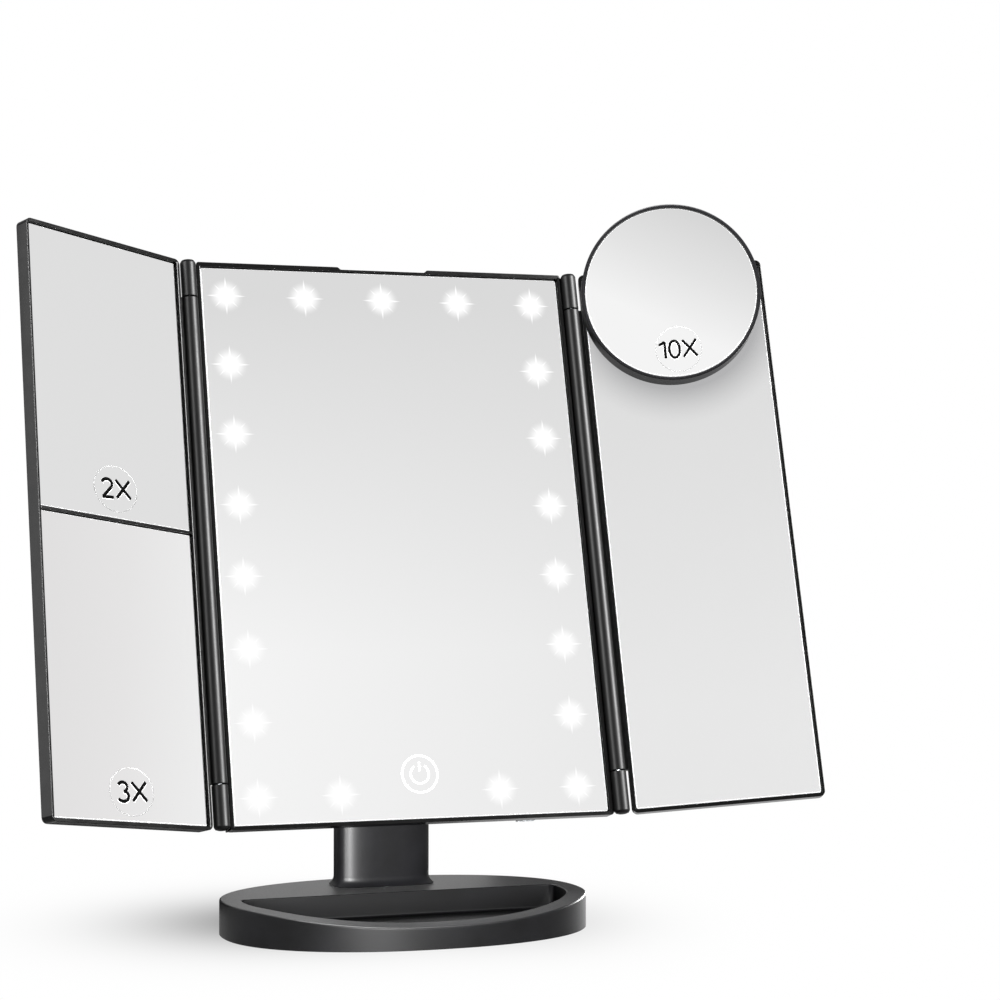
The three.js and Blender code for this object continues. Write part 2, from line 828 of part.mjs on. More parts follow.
class ConeHelix extends THREE.Curve {
  constructor(x, start, length) {
    super();
    this.x = x;
    this.start = start;
    this.length = length;
  }

  getPoint(t, target = new THREE.Vector3()) {
    const angle = 2 * Math.PI * springTurns * t;
    const radius = springWide + (springNarrow - springWide) * t;
    return target.set(
      this.x + radius * Math.cos(angle),
      cellY + radius * Math.sin(angle),
      this.start + this.length * t,
    );
  }
}

function contact(cells, atTop) {
  const direction = atTop ? -1 : 1;
  const outside = atTop ? bayTop - fit : bayBottom + fit;
  const face = outside + direction * plateThickness;
  const half = cellPitch / 2 - fit;
  const [x0, x1] = [cellX(cells[0]) - half, cellX(cells.at(-1)) + half];
  const [low, high] = [outside, face].sort((a, b) => a - b);
  let body = block(x0, x1, cellY - plateHalfDepth, cellY + plateHalfDepth, low, high);
  for (const i of cells) {
    const springHere = atTop ? i % 2 === 1 : i % 2 === 0;
    const x = cellX(i);
    if (springHere) {
      const wire = new THREE.Shape();
      wire.absarc(0, 0, springWire / 2, 0, 2 * Math.PI);
      const sunk = face - direction * 0.3;
      const reach = direction * (springLength + 0.3 - springWire / 2);
      const path = new ConeHelix(x, sunk, reach);
      body = join(body, solid(new THREE.ExtrudeGeometry(wire, {
        steps: springTurns * 8,
        curveSegments: 2,
        bevelEnabled: false,
        extrudePath: path,
      })));
    } else {
      const ends = [face - direction * 0.1, face + direction * bumpLength].sort((a, b) => a - b);
      body = join(body, rodZ(nubRadius + 0.6, ...ends, x, cellY, smallSides));
    }
  }
  return body;
}

// Wings: each is built about its hinge axis, which is the origin of its group
function wingShell(side, panes) {
  const outline = roundedRect(
    side * wingInnerEdge,
    side * wingOuterEdge,
    -wingHalfHeight,
    wingHalfHeight,
    wingCorner,
  );
  let body = slabY(outline, wingFront, wingBack, 5);
  for (const [z0, z1] of panes) {
    body = cut(body, block(
      side * (wingGlassStart - fit),
      side * (wingGlassEnd + fit),
      wingFront - 1,
      hingeForward + glassThickness + fit,
      z0 - fit,
      z1 + fit,
    ));
  }
  const [low, high] = [bottomSeam + fit, topSeam - fit];
  const barrel = rodZ(barrelRadius, low, high, 0, 0, mediumSides);
  const bridgeFront = wingFront + 0.3;
  const bridgeEnd = side * (wingInnerEdge + 1);
  const bridge = block(0, bridgeEnd, bridgeFront, bridgeFront + bridgeThickness, low, high);
  body = join(body, barrel, bridge);
  for (const z of [topSeam, bottomSeam]) {
    const reach = wingPinHalf + fit;
    body = cut(body, rodZ(wingPinRadius + fit, z - reach, z + reach, 0, 0, smallSides));
  }
  return body;
}

function pane(side, z0, z1) {
  const back = hingeForward + glassThickness;
  return bevelledGlass(side * wingGlassStart, side * wingGlassEnd, z0, z1, back);
}

function label(half, x, glassFace, z) {
  const back = glassFace - fit;
  return slabY(polygon(superellipse(...half, 2, broadSides)), back - labelThickness, back).translate([x, 0, z]);
}

function wingPin(side, z) {
  return rodZ(wingPinRadius, z - wingPinHalf, z + wingPinHalf, side * hingeX, -hingeForward, smallSides);
}

// Magnifying mirror, about the point where its suction cup meets the mirror's neck
const spotFrontFace = -fit - spotDepth;

function spotHousing() {
  const [back, front] = [-fit, spotFrontFace];
  const pocket = front + spotGlassRecess + glassThickness + fit;
  const inner = spotRadius - spotRim;
  const hollowBack = back - wall;
  return turnedY([
    [cupNeckRadius + fit, hollowBack],
    [spotBackRadius - wall - 1.5, hollowBack],
    [inner - spotLedge, pocket],
    [inner, pocket],
    [inner, front],
    [spotRadius - 0.4, front],
    [spotRadius, front + 0.6],
    [spotBackRadius, back - 1.6],
    [spotBackRadius - 1.6, back],
    [cupNeckRadius + fit, back],
    [cupNeckRadius + fit, hollowBack],
  ], 0, 0, broadSides);
}

function spotMirror() {
  const front = spotFrontFace + spotGlassRecess;
  const radius = spotRadius - spotRim - fit;
  const concave = Array.from({ length: spotDishRings + 1 }, (_, i) => {
    const share = i / spotDishRings;
    return [(radius - spotEdge) * share, front + 0.2 + spotDish * (1 - share * share)];
  });
  return turnedY([
    [0, front + glassThickness],
    [radius, front + glassThickness],
    [radius, front + 0.2 + spotEdge],
    ...concave.toReversed(),
  ], 0, 0, broadSides);
}

function suctionCup() {
  const lipEdge = cupHeight - fit;
  return turnedY([
    [0, 0.2],
    [cupNeckRadius, 0.2],
    [cupNeckRadius + 1, 1],
    [cupRadius * 0.62, cupHeight * 0.45],
    [cupRadius * 0.9, lipEdge - 1.4],
    [cupRadius, lipEdge - 0.6],
    [cupRadius, lipEdge],
    [cupRadius * 0.82, lipEdge],
    [cupRadius * 0.5, lipEdge - 1.6],
    [0, lipEdge - 2.2],
  ], 0, 0, mediumSides);
}

function cupStem() {
  const inside = -fit - wall - fit;
  return turnedY([
    [0, inside - cupHeadThickness],
    [cupHeadRadius - 0.5, inside - cupHeadThickness],
    [cupHeadRadius, inside],
    [cupNeckRadius, inside],
    [cupNeckRadius, 1],
    [0, 1],
  ], 0, 0, smallSides);
}

// Neck
function neckSection(halfWidth, halfDepth) {
  return superellipse(halfWidth, halfDepth, neckPower, neckSides).map(([x, y]) => [x, y + pivotY]);
}

function neckBody() {
  const [w, d] = [neckWidth / 2, neckDepth / 2];
  const top = pivotZ + neckDepth;
  const flares = [1, 0.45, 0.12, 0];
  const rings = flares.map((share, i) => [
    neckSection(w + neckFlare * share, d + neckFlare * share),
    neckBottom + neckFlareHeight * i / (flares.length - 1),
  ]);
  const outer = loft([...rings, [neckSection(w, d), top]]);
  const hollow = loft([
    [neckSection(w - neckWall, d - neckWall), neckBottom + neckFloor],
    [neckSection(w - neckWall, d - neckWall), top + 1],
  ]);
  const capped = (radius) => {
    const shape = new THREE.Shape();
    shape.moveTo(pivotY - neckDepth, -1);
    shape.lineTo(pivotY + neckDepth, -1);
    shape.lineTo(pivotY + neckDepth, neckBottom + neckFlareHeight);
    shape.lineTo(pivotY + radius, neckBottom + neckFlareHeight);
    shape.absarc(pivotY, pivotZ, radius, 0, Math.PI);
    shape.lineTo(pivotY - radius, neckBottom + neckFlareHeight);
    shape.lineTo(pivotY - neckDepth, neckBottom + neckFlareHeight);
    return slabX(shape, -neckWidth, neckWidth, 12);
  };
  let body = cut(outer.intersect(capped(d)), hollow.intersect(capped(d - neckWall)));
  const hub = rodX(earRadius, -w + 0.5, w - 0.5, pivotY, pivotZ);
  body = join(body, hub);
  for (const z of neckScrewHeights) {
    body = join(body, rodY(bossRadius, pivotY - d + 1, pivotY + d - 1, 0, z, smallSides));
  }
  for (const offset of [-neckFootScrewOffset, neckFootScrewOffset]) {
    const y = pivotY + offset;
    body = join(body, rodZ(bossRadius, neckBottom + 1, neckBottom + footScrewLength + 1, 0, y, smallSides));
    const holeTop = neckBottom + footScrewLength;
    body = cut(body, rodZ(screwRadius + fit / 2, neckBottom - 1, holeTop, 0, y, smallSides));
  }
  body = cut(body, rodX(tiltPinRadius + fit / 2, -neckWidth, neckWidth, pivotY, pivotZ));
  for (const z of neckScrewHeights) {
    body = cut(
      body,
      rodY(screwRadius + fit / 2, pivotY - d + 3, pivotY + d, 0, z, smallSides),
      rodY(screwHeadRadius + fit, pivotY + d - headSink, pivotY + d + 2, 0, z, smallSides),
    );
  }
  return body;
}

function neckHalf(rear) {
  const reach = neckDepth;
  const [y0, y1] = rear ? [pivotY + fit / 2, pivotY + reach] : [pivotY - reach, pivotY - fit / 2];
  return neckBody().intersect(block(-neckWidth, neckWidth, y0, y1, 0, pivotZ + reach));
}

function washer(side) {
  const x = neckWidth / 2 + fit;
  const [x0, x1] = side > 0 ? [x, x + washerThickness] : [-x - washerThickness, -x];
  const disc = rodX(washerRadius, x0, x1, pivotY, pivotZ, mediumSides);
  return cut(disc, rodX(tiltPinRadius + fit / 2, x0 - 1, x1 + 1, pivotY, pivotZ));
}

function tiltPin() {
  const headStart = -earOutside - fit;
  const end = earOutside + fit + nutThickness + 1;
  const shank = rodX(tiltPinRadius, headStart - 0.5, end, pivotY, pivotZ);
  const head = rodX(tiltHeadRadius, headStart - tiltHeadThickness, headStart, pivotY, pivotZ, mediumSides);
  return join(shank, head);
}

function tiltNut() {
  const x0 = earOutside + fit;
  const hexagon = rodX(tiltHeadRadius + 0.4, x0, x0 + nutThickness, pivotY, pivotZ, 6);
  return cut(hexagon, rodX(tiltPinRadius + fit / 2, x0 - 1, x0 + nutThickness + 1, pivotY, pivotZ));
}

// Base
function baseRing(inset) {
  return superellipse(baseHalfWidth - inset, baseHalfDepth - inset, basePower, baseSides);
}

function baseSlab(inset, z0, z1) {
  return loft([[baseRing(inset), z0], [baseRing(inset), z1]]);
}

function trayShape() {
  const [a, b] = [baseHalfWidth - trayRimSide, baseHalfDepth - trayRimFront];
  const edgeX = (y) => a * (1 - Math.abs(y / b) ** basePower) ** (1 / basePower);
  const cornerY = trayBackY - trayCorner;
  const cornerX = edgeX(trayBackY);
  const shape = new THREE.Shape();
  shape.moveTo(-cornerX + trayCorner, trayBackY);
  shape.quadraticCurveTo(-cornerX, trayBackY, -edgeX(cornerY), cornerY);
  const steps = baseSides / 2;
  const curve = superellipse(a, b, basePower, 2 * steps);
  const front = curve.slice(steps + 1).filter(([, y]) => y < 0);
  for (const [x, y] of front) {
    shape.lineTo(x, y);
  }
  shape.lineTo(edgeX(cornerY), cornerY);
  shape.quadraticCurveTo(cornerX, trayBackY, cornerX - trayCorner, trayBackY);
  return shape;
}

function frontSlopeCut() {
  const steps = 12;
  const reach = baseHalfDepth + baseDropStart;
  const line = Array.from({ length: steps + 1 }, (_, i) => {
    const share = i / steps;
    return [baseDropStart - reach * share, baseHeight - baseFrontDrop * share ** baseDropPower];
  });
  const [, lastZ] = line.at(-1);
  const shape = polygon([
    ...line,
    [-baseHalfDepth - 1, lastZ],
    [-baseHalfDepth - 1, baseHeight + 1],
    [baseDropStart, baseHeight + 1],
  ].reverse());
  return slabX(shape, -baseHalfWidth - 1, baseHalfWidth + 1);
}

function baseHollow(inset, z0, z1) {
  const front = trayBackY + wall + inset;
  const rear = block(-baseHalfWidth, baseHalfWidth, front, baseHalfDepth + 1, z0, z1);
  return baseSlab(skirtWall + inset, z0, z1).intersect(rear);
}

function baseShell() {
  let body = baseSlab(0, skirtBottom, baseHeight);
  body = cut(body, frontSlopeCut(), slabZ(trayShape(), trayFloorTop, baseHeight + 1, 8));
  body = cut(body, baseSlab(skirtWall, skirtBottom - 1, trayUnder));
  body = cut(body, baseHollow(0, trayUnder - 1, cavityTop));
  for (const [x, y] of coverScrewSpots) {
    body = join(body, rodZ(bossRadius, trayUnder, cavityTop + 0.5, x, y, smallSides));
    body = cut(body, rodZ(screwRadius + fit / 2, trayUnder - 1, cavityTop, x, y, smallSides));
  }
  for (const offset of [-neckFootScrewOffset, neckFootScrewOffset]) {
    const y = pivotY + offset;
    body = cut(body, rodZ(screwRadius + fit, cavityTop - 1, baseHeight + 1, 0, y, smallSides));
  }
  return body;
}

function baseWeight() {
  const bottom = coverTop + fit;
  const gap = 0.6;
  let body = baseHollow(gap, bottom, bottom + weightThickness);
  for (const [x, y] of coverScrewSpots) {
    body = cut(body, rodZ(bossRadius + gap, bottom - 1, bottom + weightThickness + 1, x, y, smallSides));
  }
  const room = screwHeadRadius + 1;
  for (const offset of [-neckFootScrewOffset, neckFootScrewOffset]) {
    body = cut(body, rodZ(room, bottom - 1, bottom + weightThickness + 1, 0, pivotY + offset, smallSides));
  }
  return body;
}

function baseCover() {
  let body = baseSlab(skirtWall + fit, coverBottom, coverTop);
  for (const [x, y] of coverScrewSpots) {
    const sink = rodZ(
      screwHeadRadius + fit,
      coverBottom - 0.01,
      coverTop + 0.01,
      x,
      y,
      smallSides,
      screwRadius + fit,
    );
    body = cut(body, sink);
  }
  return body;
}

const basePad = () => baseSlab(skirtWall + 1, 0, padThickness);

// Assembly
const mirror = new THREE.Group();

function addBase() {
  piece(mirror, 'base_pad', basePad(), padFoam);
  piece(mirror, 'base_cover', baseCover(), satinCharcoal);
  piece(mirror, 'base_weight', baseWeight(), steel);
  piece(mirror, 'base_shell', baseShell(), satinCharcoal);
  coverScrewSpots.forEach(([x, y], i) => {
    const length = cavityTop - coverTop - 1;
    piece(mirror, `base_cover_screw_${i + 1}`, screwZ(x, y, coverBottom, length, true), steel);
  });
  [-neckFootScrewOffset, neckFootScrewOffset].forEach((offset, i) => {
    const headZ = cavityTop - fit - screwHeadHeight;
    const length = footScrewLength;
    piece(mirror, `neck_foot_screw_${i + 1}`, screwZ(0, pivotY + offset, headZ, length), steel);
  });
}

function addNeck() {
  piece(mirror, 'neck_front', neckHalf(false), satinCharcoal);
  piece(mirror, 'neck_rear', neckHalf(true), satinCharcoal);
  neckScrewHeights.forEach((z, i) => {
    const head = pivotY + neckDepth / 2 - headSink + fit + screwHeadHeight;
    piece(mirror, `neck_screw_${i + 1}`, screwY(0, head, z, neckScrewLength), steel);
  });
  piece(mirror, 'tilt_washer_left', washer(-1), brass);
  piece(mirror, 'tilt_washer_right', washer(1), brass);
  piece(mirror, 'tilt_pin', tiltPin(), steel);
  piece(mirror, 'tilt_nut', tiltNut(), steel);
}

function addCentre(head) {
  piece(head, 'front_frame', frontFrame(), glossBlack);
  piece(head, 'main_mirror', mainMirror(), silvered);
  piece(head, 'led_strip', ledStrip(), stripWhite);
  piece(head, 'touch_board', touchBoard(), circuitGreen);
  piece(head, 'main_board', mainBoard(), circuitGreen);
  piece(head, 'usb_socket', usbSocket(), steel);
  piece(head, 'switch_body', switchBody(), steel);
  piece(head, 'switch_knob', switchKnob(), glossBlack);
  piece(head, 'back_shell', backShell(), satinCharcoal);
  piece(head, 'battery_door', batteryDoor(), satinCharcoal);
  for (let i = 0; i < cellCount; i += 1) {
    piece(head, `battery_${i + 1}`, cell(i), cellWrap);
  }
  piece(head, 'contact_lower_left', contact([0, 1], false), brass);
  piece(head, 'contact_lower_right', contact([2, 3], false), brass);
  piece(head, 'contact_upper_left', contact([0], true), brass);
  piece(head, 'contact_upper_middle', contact([1, 2], true), brass);
  piece(head, 'contact_upper_right', contact([3], true), brass);
  [[-1, 1], [1, 1], [-1, -1], [1, -1]].forEach(([side, end], i) => {
    const y = bodyDepth - headSink + fit + screwHeadHeight;
    const length = y - screwHeadHeight - glassBack - 2 * fit;
    const screw = screwY(side * cornerScrewX, y, end * cornerScrewZ, length);
    piece(head, `shell_screw_${i + 1}`, screw, steel);
  });
  for (const [name, side] of [['left', -1], ['right', 1]]) {
    piece(head, `${name}_hinge_pin_top`, wingPin(side, topSeam), steel);
    piece(head, `${name}_hinge_pin_bottom`, wingPin(side, bottomSeam), steel);
  }
}

function wingGroup(side, swing) {
  const group = new THREE.Group();
  group.position.set(side * hingeX, -hingeForward, 0);
  group.rotation.z = -side * radians(swing);
  return group;
}

function addLeftWing(head) {
  const wing = wingGroup(-1, leftSwing);
  const clear = dividerWidth / 2 + fit;
  const upper = [dividerZ + clear, halfGlassHeight];
  const lower = [-halfGlassHeight, dividerZ - clear];
  piece(wing, 'left_wing_shell', wingShell(-1, [upper, lower]), glossBlack);
  piece(wing, 'left_upper_mirror', pane(-1, ...upper), silvered);
  piece(wing, 'left_lower_mirror', pane(-1, ...lower), silvered);
  const stick = (name, z) => {
    piece(wing, name, label(wingLabelHalf, -leftLabelX, hingeForward, z), clearFilm);
  };
  stick('upper_label', upper[0] + upperLabelRise);
  stick('lower_label', lower[0] + lowerLabelRise);
  head.add(wing);
}

function addRightWing(head) {
  const wing = wingGroup(1, rightSwing);
  const whole = [-halfGlassHeight, halfGlassHeight];
  piece(wing, 'right_wing_shell', wingShell(1, [whole]), glossBlack);
  piece(wing, 'right_wing_mirror', pane(1, ...whole), silvered);
  const holder = new THREE.Group();
  holder.position.set(spotAlong, hingeForward - cupHeight, spotUp);
  const droop = radians(spotDroop);
  const stem = solid(geometryOf(cupStem()).rotateX(droop));
  piece(holder, 'suction_cup', join(suctionCup(), stem), clearRubber);
  const spot = new THREE.Group();
  spot.rotation.x = droop;
  piece(spot, 'spot_housing', spotHousing(), satinCharcoal);
  piece(spot, 'spot_mirror', spotMirror(), silvered);
  const labelFace = spotFrontFace + spotGlassRecess + 0.2;
  const spotLabel = label(spotLabelHalf, spotLabelX, labelFace, -spotLabelDrop);
  piece(spot, 'spot_label', spotLabel, clearFilm);
  holder.add(spot);
  wing.add(holder);
  head.add(wing);
}

addBase();
addNeck();
const tilt = new THREE.Group();
tilt.position.set(0, pivotY, pivotZ);
tilt.rotation.x = -radians(lean);
const head = new THREE.Group();
head.position.set(0, -pivotBehind, pivotBelow);
addCentre(head);
addLeftWing(head);
addRightWing(head);
tilt.add(head);
mirror.add(tilt);

export default mirror;
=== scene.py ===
"""Lighted folding makeup mirror: every visible piece is modelled and finished over its CAD frame.

Sizes are millimetres in each sub-assembly's own frame. A piece is drawn there and one matrix then
puts it, in metres, where the CAD says it is.
"""

import logging
import math
from contextlib import contextmanager
from dataclasses import dataclass
from enum import Enum
from typing import Callable, Dict, Iterator, List, Optional, Sequence, Tuple, Union

import bmesh
import bpy
from mathutils import Matrix, Vector


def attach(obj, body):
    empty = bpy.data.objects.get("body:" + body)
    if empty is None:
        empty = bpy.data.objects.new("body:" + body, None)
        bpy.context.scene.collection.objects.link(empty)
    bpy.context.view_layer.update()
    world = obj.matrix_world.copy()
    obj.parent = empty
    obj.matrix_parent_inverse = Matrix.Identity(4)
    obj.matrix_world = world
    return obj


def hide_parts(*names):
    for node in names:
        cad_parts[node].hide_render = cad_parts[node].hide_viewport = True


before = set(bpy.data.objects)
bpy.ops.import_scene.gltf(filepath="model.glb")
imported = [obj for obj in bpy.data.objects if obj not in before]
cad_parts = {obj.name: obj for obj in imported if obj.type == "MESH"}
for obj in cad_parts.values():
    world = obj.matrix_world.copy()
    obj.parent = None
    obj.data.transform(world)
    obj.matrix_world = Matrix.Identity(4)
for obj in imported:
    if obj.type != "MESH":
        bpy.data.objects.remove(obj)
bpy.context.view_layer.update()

MM = 0.001
LOG = logging.getLogger("makeup_mirror")

Object = bpy.types.Object
Pair = Tuple[float, float]
Triple = Tuple[float, float, float]
Outline = List[Pair]
Ring = List[Triple]

PIVOT = Vector((0.0, 32.4, 122.0))
LEAN = 15.0
HEAD_MIDDLE = (0.0, -40.6, 31.2)
HINGE_X = 85.4
BARREL_Y = -1.5
BARREL_RADIUS = 3.3
LEFT_FOLD = 30.0
RIGHT_FOLD = -20.0
CUP_PLACE = (43.0, -5.5, 103.1)
CUP_HANG = 7.0
MOST_OF_HALF = 0.49  # share of a profile's side that a fillet may take at each of its ends


def turn(degrees: float, axis: str) -> Matrix:
    """Rotation matrix about one axis."""
    return Matrix.Rotation(math.radians(degrees), 4, axis)


def move(x: float, y: float, z: float) -> Matrix:
    """Translation matrix."""
    return Matrix.Translation((x, y, z))


WORLD = Matrix.Identity(4)
HEAD = move(*PIVOT) @ turn(-LEAN, "X") @ move(*HEAD_MIDDLE)
LEFT_WING = HEAD @ move(-HINGE_X, BARREL_Y, 0) @ turn(LEFT_FOLD, "Z")
RIGHT_WING = HEAD @ move(HINGE_X, BARREL_Y, 0) @ turn(RIGHT_FOLD, "Z")
CUP = RIGHT_WING @ move(*CUP_PLACE)
SPOT = CUP @ turn(CUP_HANG, "X")
PLACES = {"head": HEAD, "left": LEFT_WING, "right": RIGHT_WING, "spot": SPOT}


def select_only(obj: Object) -> None:
    """Make one object the only selected and active one."""
    bpy.ops.object.select_all(action="DESELECT")
    obj.select_set(True)
    bpy.context.view_layer.objects.active = obj


@contextmanager
def editing(obj: Object) -> Iterator[None]:
    """Edit mode on one object, in vertex mode with everything selected."""
    select_only(obj)
    bpy.ops.object.mode_set(mode="EDIT")
    bpy.ops.mesh.select_mode(type="VERT")
    bpy.ops.mesh.select_all(action="SELECT")
    try:
        yield
    finally:
        bpy.ops.object.mode_set(mode="OBJECT")


def edit_mesh(obj: Object) -> bmesh.types.BMesh:
    """The mesh under edit, with its vertices indexed."""
    mesh = bmesh.from_edit_mesh(obj.data)
    mesh.verts.ensure_lookup_table()
    mesh.verts.index_update()
    return mesh


def select_ring(obj: Object, ring: Sequence[int]) -> None:
    """Select the vertices of one drawn ring and nothing else."""
    bpy.ops.mesh.select_all(action="DESELECT")
    mesh = edit_mesh(obj)
    for index in ring:
        mesh.verts[index].select_set(True)
    mesh.select_flush(True)
    bmesh.update_edit_mesh(obj.data)


def tidy_normals() -> None:
    """Merge doubles and turn all faces of the mesh under edit outwards."""
    bpy.ops.mesh.select_all(action="SELECT")
    bpy.ops.mesh.remove_doubles(threshold=1e-4)
    bpy.ops.mesh.normals_make_consistent(inside=False)


def added(name: str, operator: Callable, **settings: object) -> Object:
    """New mesh object from one of Blender's primitives, its scale and turn applied."""
    bpy.ops.object.select_all(action="DESELECT")
    operator(**settings)
    obj = bpy.context.active_object
    obj.name = name
    bpy.ops.object.transform_apply(location=True, rotation=True, scale=True)
    return obj


def drawn_rings(
    name: str, rings: Sequence[Sequence[Triple]], caps: Tuple[bool, bool] = (True, True)
) -> Object:
    """Draw a ring and extrude it through the others.

    Args:
        name: The piece's name.
        rings: Outlines with the same number of points, in order along the surface.
        caps: Whether the first and the last ring are filled. With neither, the last ring meets
            the first and the body closes on itself.

    Returns:
        The new mesh object, its normals facing out.
    """
    count = len(rings[0])
    obj = added(name, bpy.ops.mesh.primitive_circle_add, vertices=count, fill_type="NOTHING")

    def put(indices: Sequence[int], ring: Sequence[Triple]) -> None:
        """Move vertices to the points of a ring."""
        mesh = edit_mesh(obj)
        for index, point in zip(indices, ring):
            mesh.verts[index].co = point
        bmesh.update_edit_mesh(obj.data)

    with editing(obj):
        first = current = list(range(count))
        put(current, rings[0])
        for ring in rings[1:]:
            select_ring(obj, current)
            bpy.ops.mesh.extrude_edges_move()
            following = []
            mesh = edit_mesh(obj)
            for index in current:
                vertex = mesh.verts[index]
                ends = (edge.other_vert(vertex) for edge in vertex.link_edges)
                following.append(next(end.index for end in ends if end.select))
            put(following, ring)
            current = following
        for wanted, ring in zip(caps, (first, current)):
            if wanted:
                select_ring(obj, ring)
                bpy.ops.mesh.edge_face_add()
        tidy_normals()
    return obj


def rounded(corners: Sequence[Sequence[float]], steps: int = 5) -> Outline:
    """Profile with fillets, from (u, v) or (u, v, fillet radius) corners."""
    result: Outline = []
    for i, corner in enumerate(corners):
        here = Vector(corner[:2])
        radius = corner[2] if len(corner) > 2 else 0.0
        if radius <= 0 or i in (0, len(corners) - 1):
            result.append(tuple(here))
            continue
        arms = [Vector(corners[j][:2]) - here for j in (i - 1, i + 1)]
        to_before, to_after = (arm.normalized() for arm in arms)
        half = to_before.angle(to_after) / 2
        reach = min(radius / math.tan(half), *(arm.length * MOST_OF_HALF for arm in arms))
        centre = here + (to_before + to_after).normalized() * (reach / math.cos(half))
        fillet = reach * math.tan(half)
        start, end = here + to_before * reach - centre, here + to_after * reach - centre
        for k in range(steps + 1):
            result.append(tuple(centre + start.lerp(end, k / steps).normalized() * fillet))
    return result


def quarter(radius: float, steps: int) -> Outline:
    """How far the points of a quarter round lie inside its square, as (across, along) pairs."""
    angles = [math.pi / 2 * k / steps for k in range(steps + 1)]
    return [(radius * (1 - math.cos(a)), radius * (1 - math.sin(a))) for a in angles]


def turned(name: str, profile: Sequence[Pair], axis: str = "Y", steps: int = 96) -> Object:
    """Draw a profile as a chain of extruded points and spin it.

    Args:
        name: The piece's name.
        profile: (radius, height) points. It starts and ends on the axis, or meets itself.
        axis: "Y" or "Z", the axis it is spun about.
        steps: Facets round the axis.

    Returns:
        The new mesh object.
    """
    points = [Vector((r, h, 0) if axis == "Y" else (r, 0, h)) for r, h in profile]
    obj = added(name, bpy.ops.mesh.primitive_plane_add, size=1)
    with editing(obj):
        bpy.ops.mesh.merge(type="CENTER")
        bpy.ops.transform.translate(value=points[0])
        for before, after in zip(points, points[1:]):
            step = {"value": after - before}
            bpy.ops.mesh.extrude_vertices_move(TRANSFORM_OT_translate=step)
        bpy.ops.mesh.select_all(action="SELECT")
        direction = (0, 1, 0) if axis == "Y" else (0, 0, 1)
        bpy.ops.mesh.spin(steps=steps, angle=math.tau, center=(0, 0, 0), axis=direction)
        tidy_normals()
    return obj


def block(name: str, low: Triple, high: Triple, edge: float = 0.0, segments: int = 2) -> Object:
    """Box between two corners, in any order along x, with its edges bevelled."""
    size = [abs(b - a) for a, b in zip(low, high)]
    middle = [(a + b) / 2 for a, b in zip(low, high)]
    obj = added(name, bpy.ops.mesh.primitive_cube_add, size=1, location=middle, scale=size)
    if edge > 0:
        with editing(obj):
            bpy.ops.mesh.bevel(offset=edge, segments=segments, profile=0.5)
    return obj


def rod(name: str, radius: float, start: Triple, end: Triple) -> Object:
    """Plain cylinder between two points, for cutting."""
    a, b = Vector(start), Vector(end)
    return added(
        name,
        bpy.ops.mesh.primitive_cylinder_add,
        vertices=32,
        radius=radius,
        depth=(b - a).length,
        location=(a + b) / 2,
        rotation=(b - a).to_track_quat("Z", "Y").to_euler(),
    )


def join(pieces: Sequence[Object], name: str) -> Object:
    """Join several meshes into the first one."""
    select_only(pieces[0])
    for piece in pieces:
        piece.select_set(True)
    bpy.ops.object.join()
    pieces[0].name = name
    return pieces[0]


def modify(obj: Object, kind: str, **settings: object) -> None:
    """Add a modifier and apply it."""
    select_only(obj)
    modifier = obj.modifiers.new("step", kind)
    for key, value in settings.items():
        setattr(modifier, key, value)
    bpy.ops.object.modifier_apply(modifier=modifier.name)


def carve(obj: Object, *cutters: Object) -> None:
    """Cut each cutter out of the object and remove it."""
    for cutter in cutters:
        modify(obj, "BOOLEAN", operation="DIFFERENCE", solver="EXACT", object=cutter)
        bpy.data.objects.remove(cutter)


def refined_copy(node: str, name: str, place: Matrix, edge: float) -> Object:
    """Copy of a CAD node, back in its own frame in mm, with merged faces and rounded edges."""
    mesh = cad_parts[node].data.copy()
    mesh.materials.clear()
    obj = bpy.data.objects.new(name, mesh)
    bpy.context.scene.collection.objects.link(obj)
    mesh.transform(place.inverted() @ Matrix.Scale(1 / MM, 4))
    with editing(obj):
        bpy.ops.mesh.remove_doubles(threshold=1e-3)
        bpy.ops.mesh.dissolve_limited(angle_limit=math.radians(0.5))
        bpy.ops.mesh.normals_make_consistent(inside=False)
    sharp = {"limit_method": "ANGLE", "angle_limit": math.radians(40)}
    modify(obj, "BEVEL", width=edge, segments=2, **sharp)
    return obj


def superellipse(half_x: float, half_y: float, power: float, count: int) -> Outline:
    """Points round a superellipse, evenly spread in its angle parameter."""

    def bend(value: float) -> float:
        """Signed power of a sine or cosine."""
        return math.copysign(abs(value) ** (2 / power), value)

    angles = (math.tau * i / count for i in range(count))
    return [(half_x * bend(math.cos(a)), half_y * bend(math.sin(a))) for a in angles]


def panel_outline(
    x0: float, x1: float, z0: float, z1: float, radius: float, steps: int = 6
) -> Outline:
    """Rounded rectangle with the same number of points for every radius."""
    low, high = min(x0, x1), max(x0, x1)
    points: Outline = []
    for x, z, start in ((high, z0, -90), (high, z1, 0), (low, z1, 90), (low, z0, 180)):
        centre_x = x - math.copysign(radius, x - (low + high) / 2)
        centre_z = z - math.copysign(radius, z - (z0 + z1) / 2)
        points += arc((centre_x, centre_z), (radius, radius), start, start + 90, steps)
    return points


def arc(middle: Pair, radii: Pair, start: float, end: float, steps: int = 16) -> Outline:
    """Points along part of an ellipse, its angles in degrees."""
    angles = [math.radians(start + (end - start) * k / steps) for k in range(steps + 1)]
    (x, z), (half_x, half_z) = middle, radii
    return [(x + half_x * math.cos(a), z + half_z * math.sin(a)) for a in angles]


def at_depth(outline: Sequence[Pair], y: float) -> Ring:
    """Stand a flat outline up at one depth."""
    return [(x, y, z) for x, z in outline]


def at_height(outline: Sequence[Pair], z: float) -> Ring:
    """Lay a flat outline down at one height."""
    return [(x, y, z) for x, y in outline]


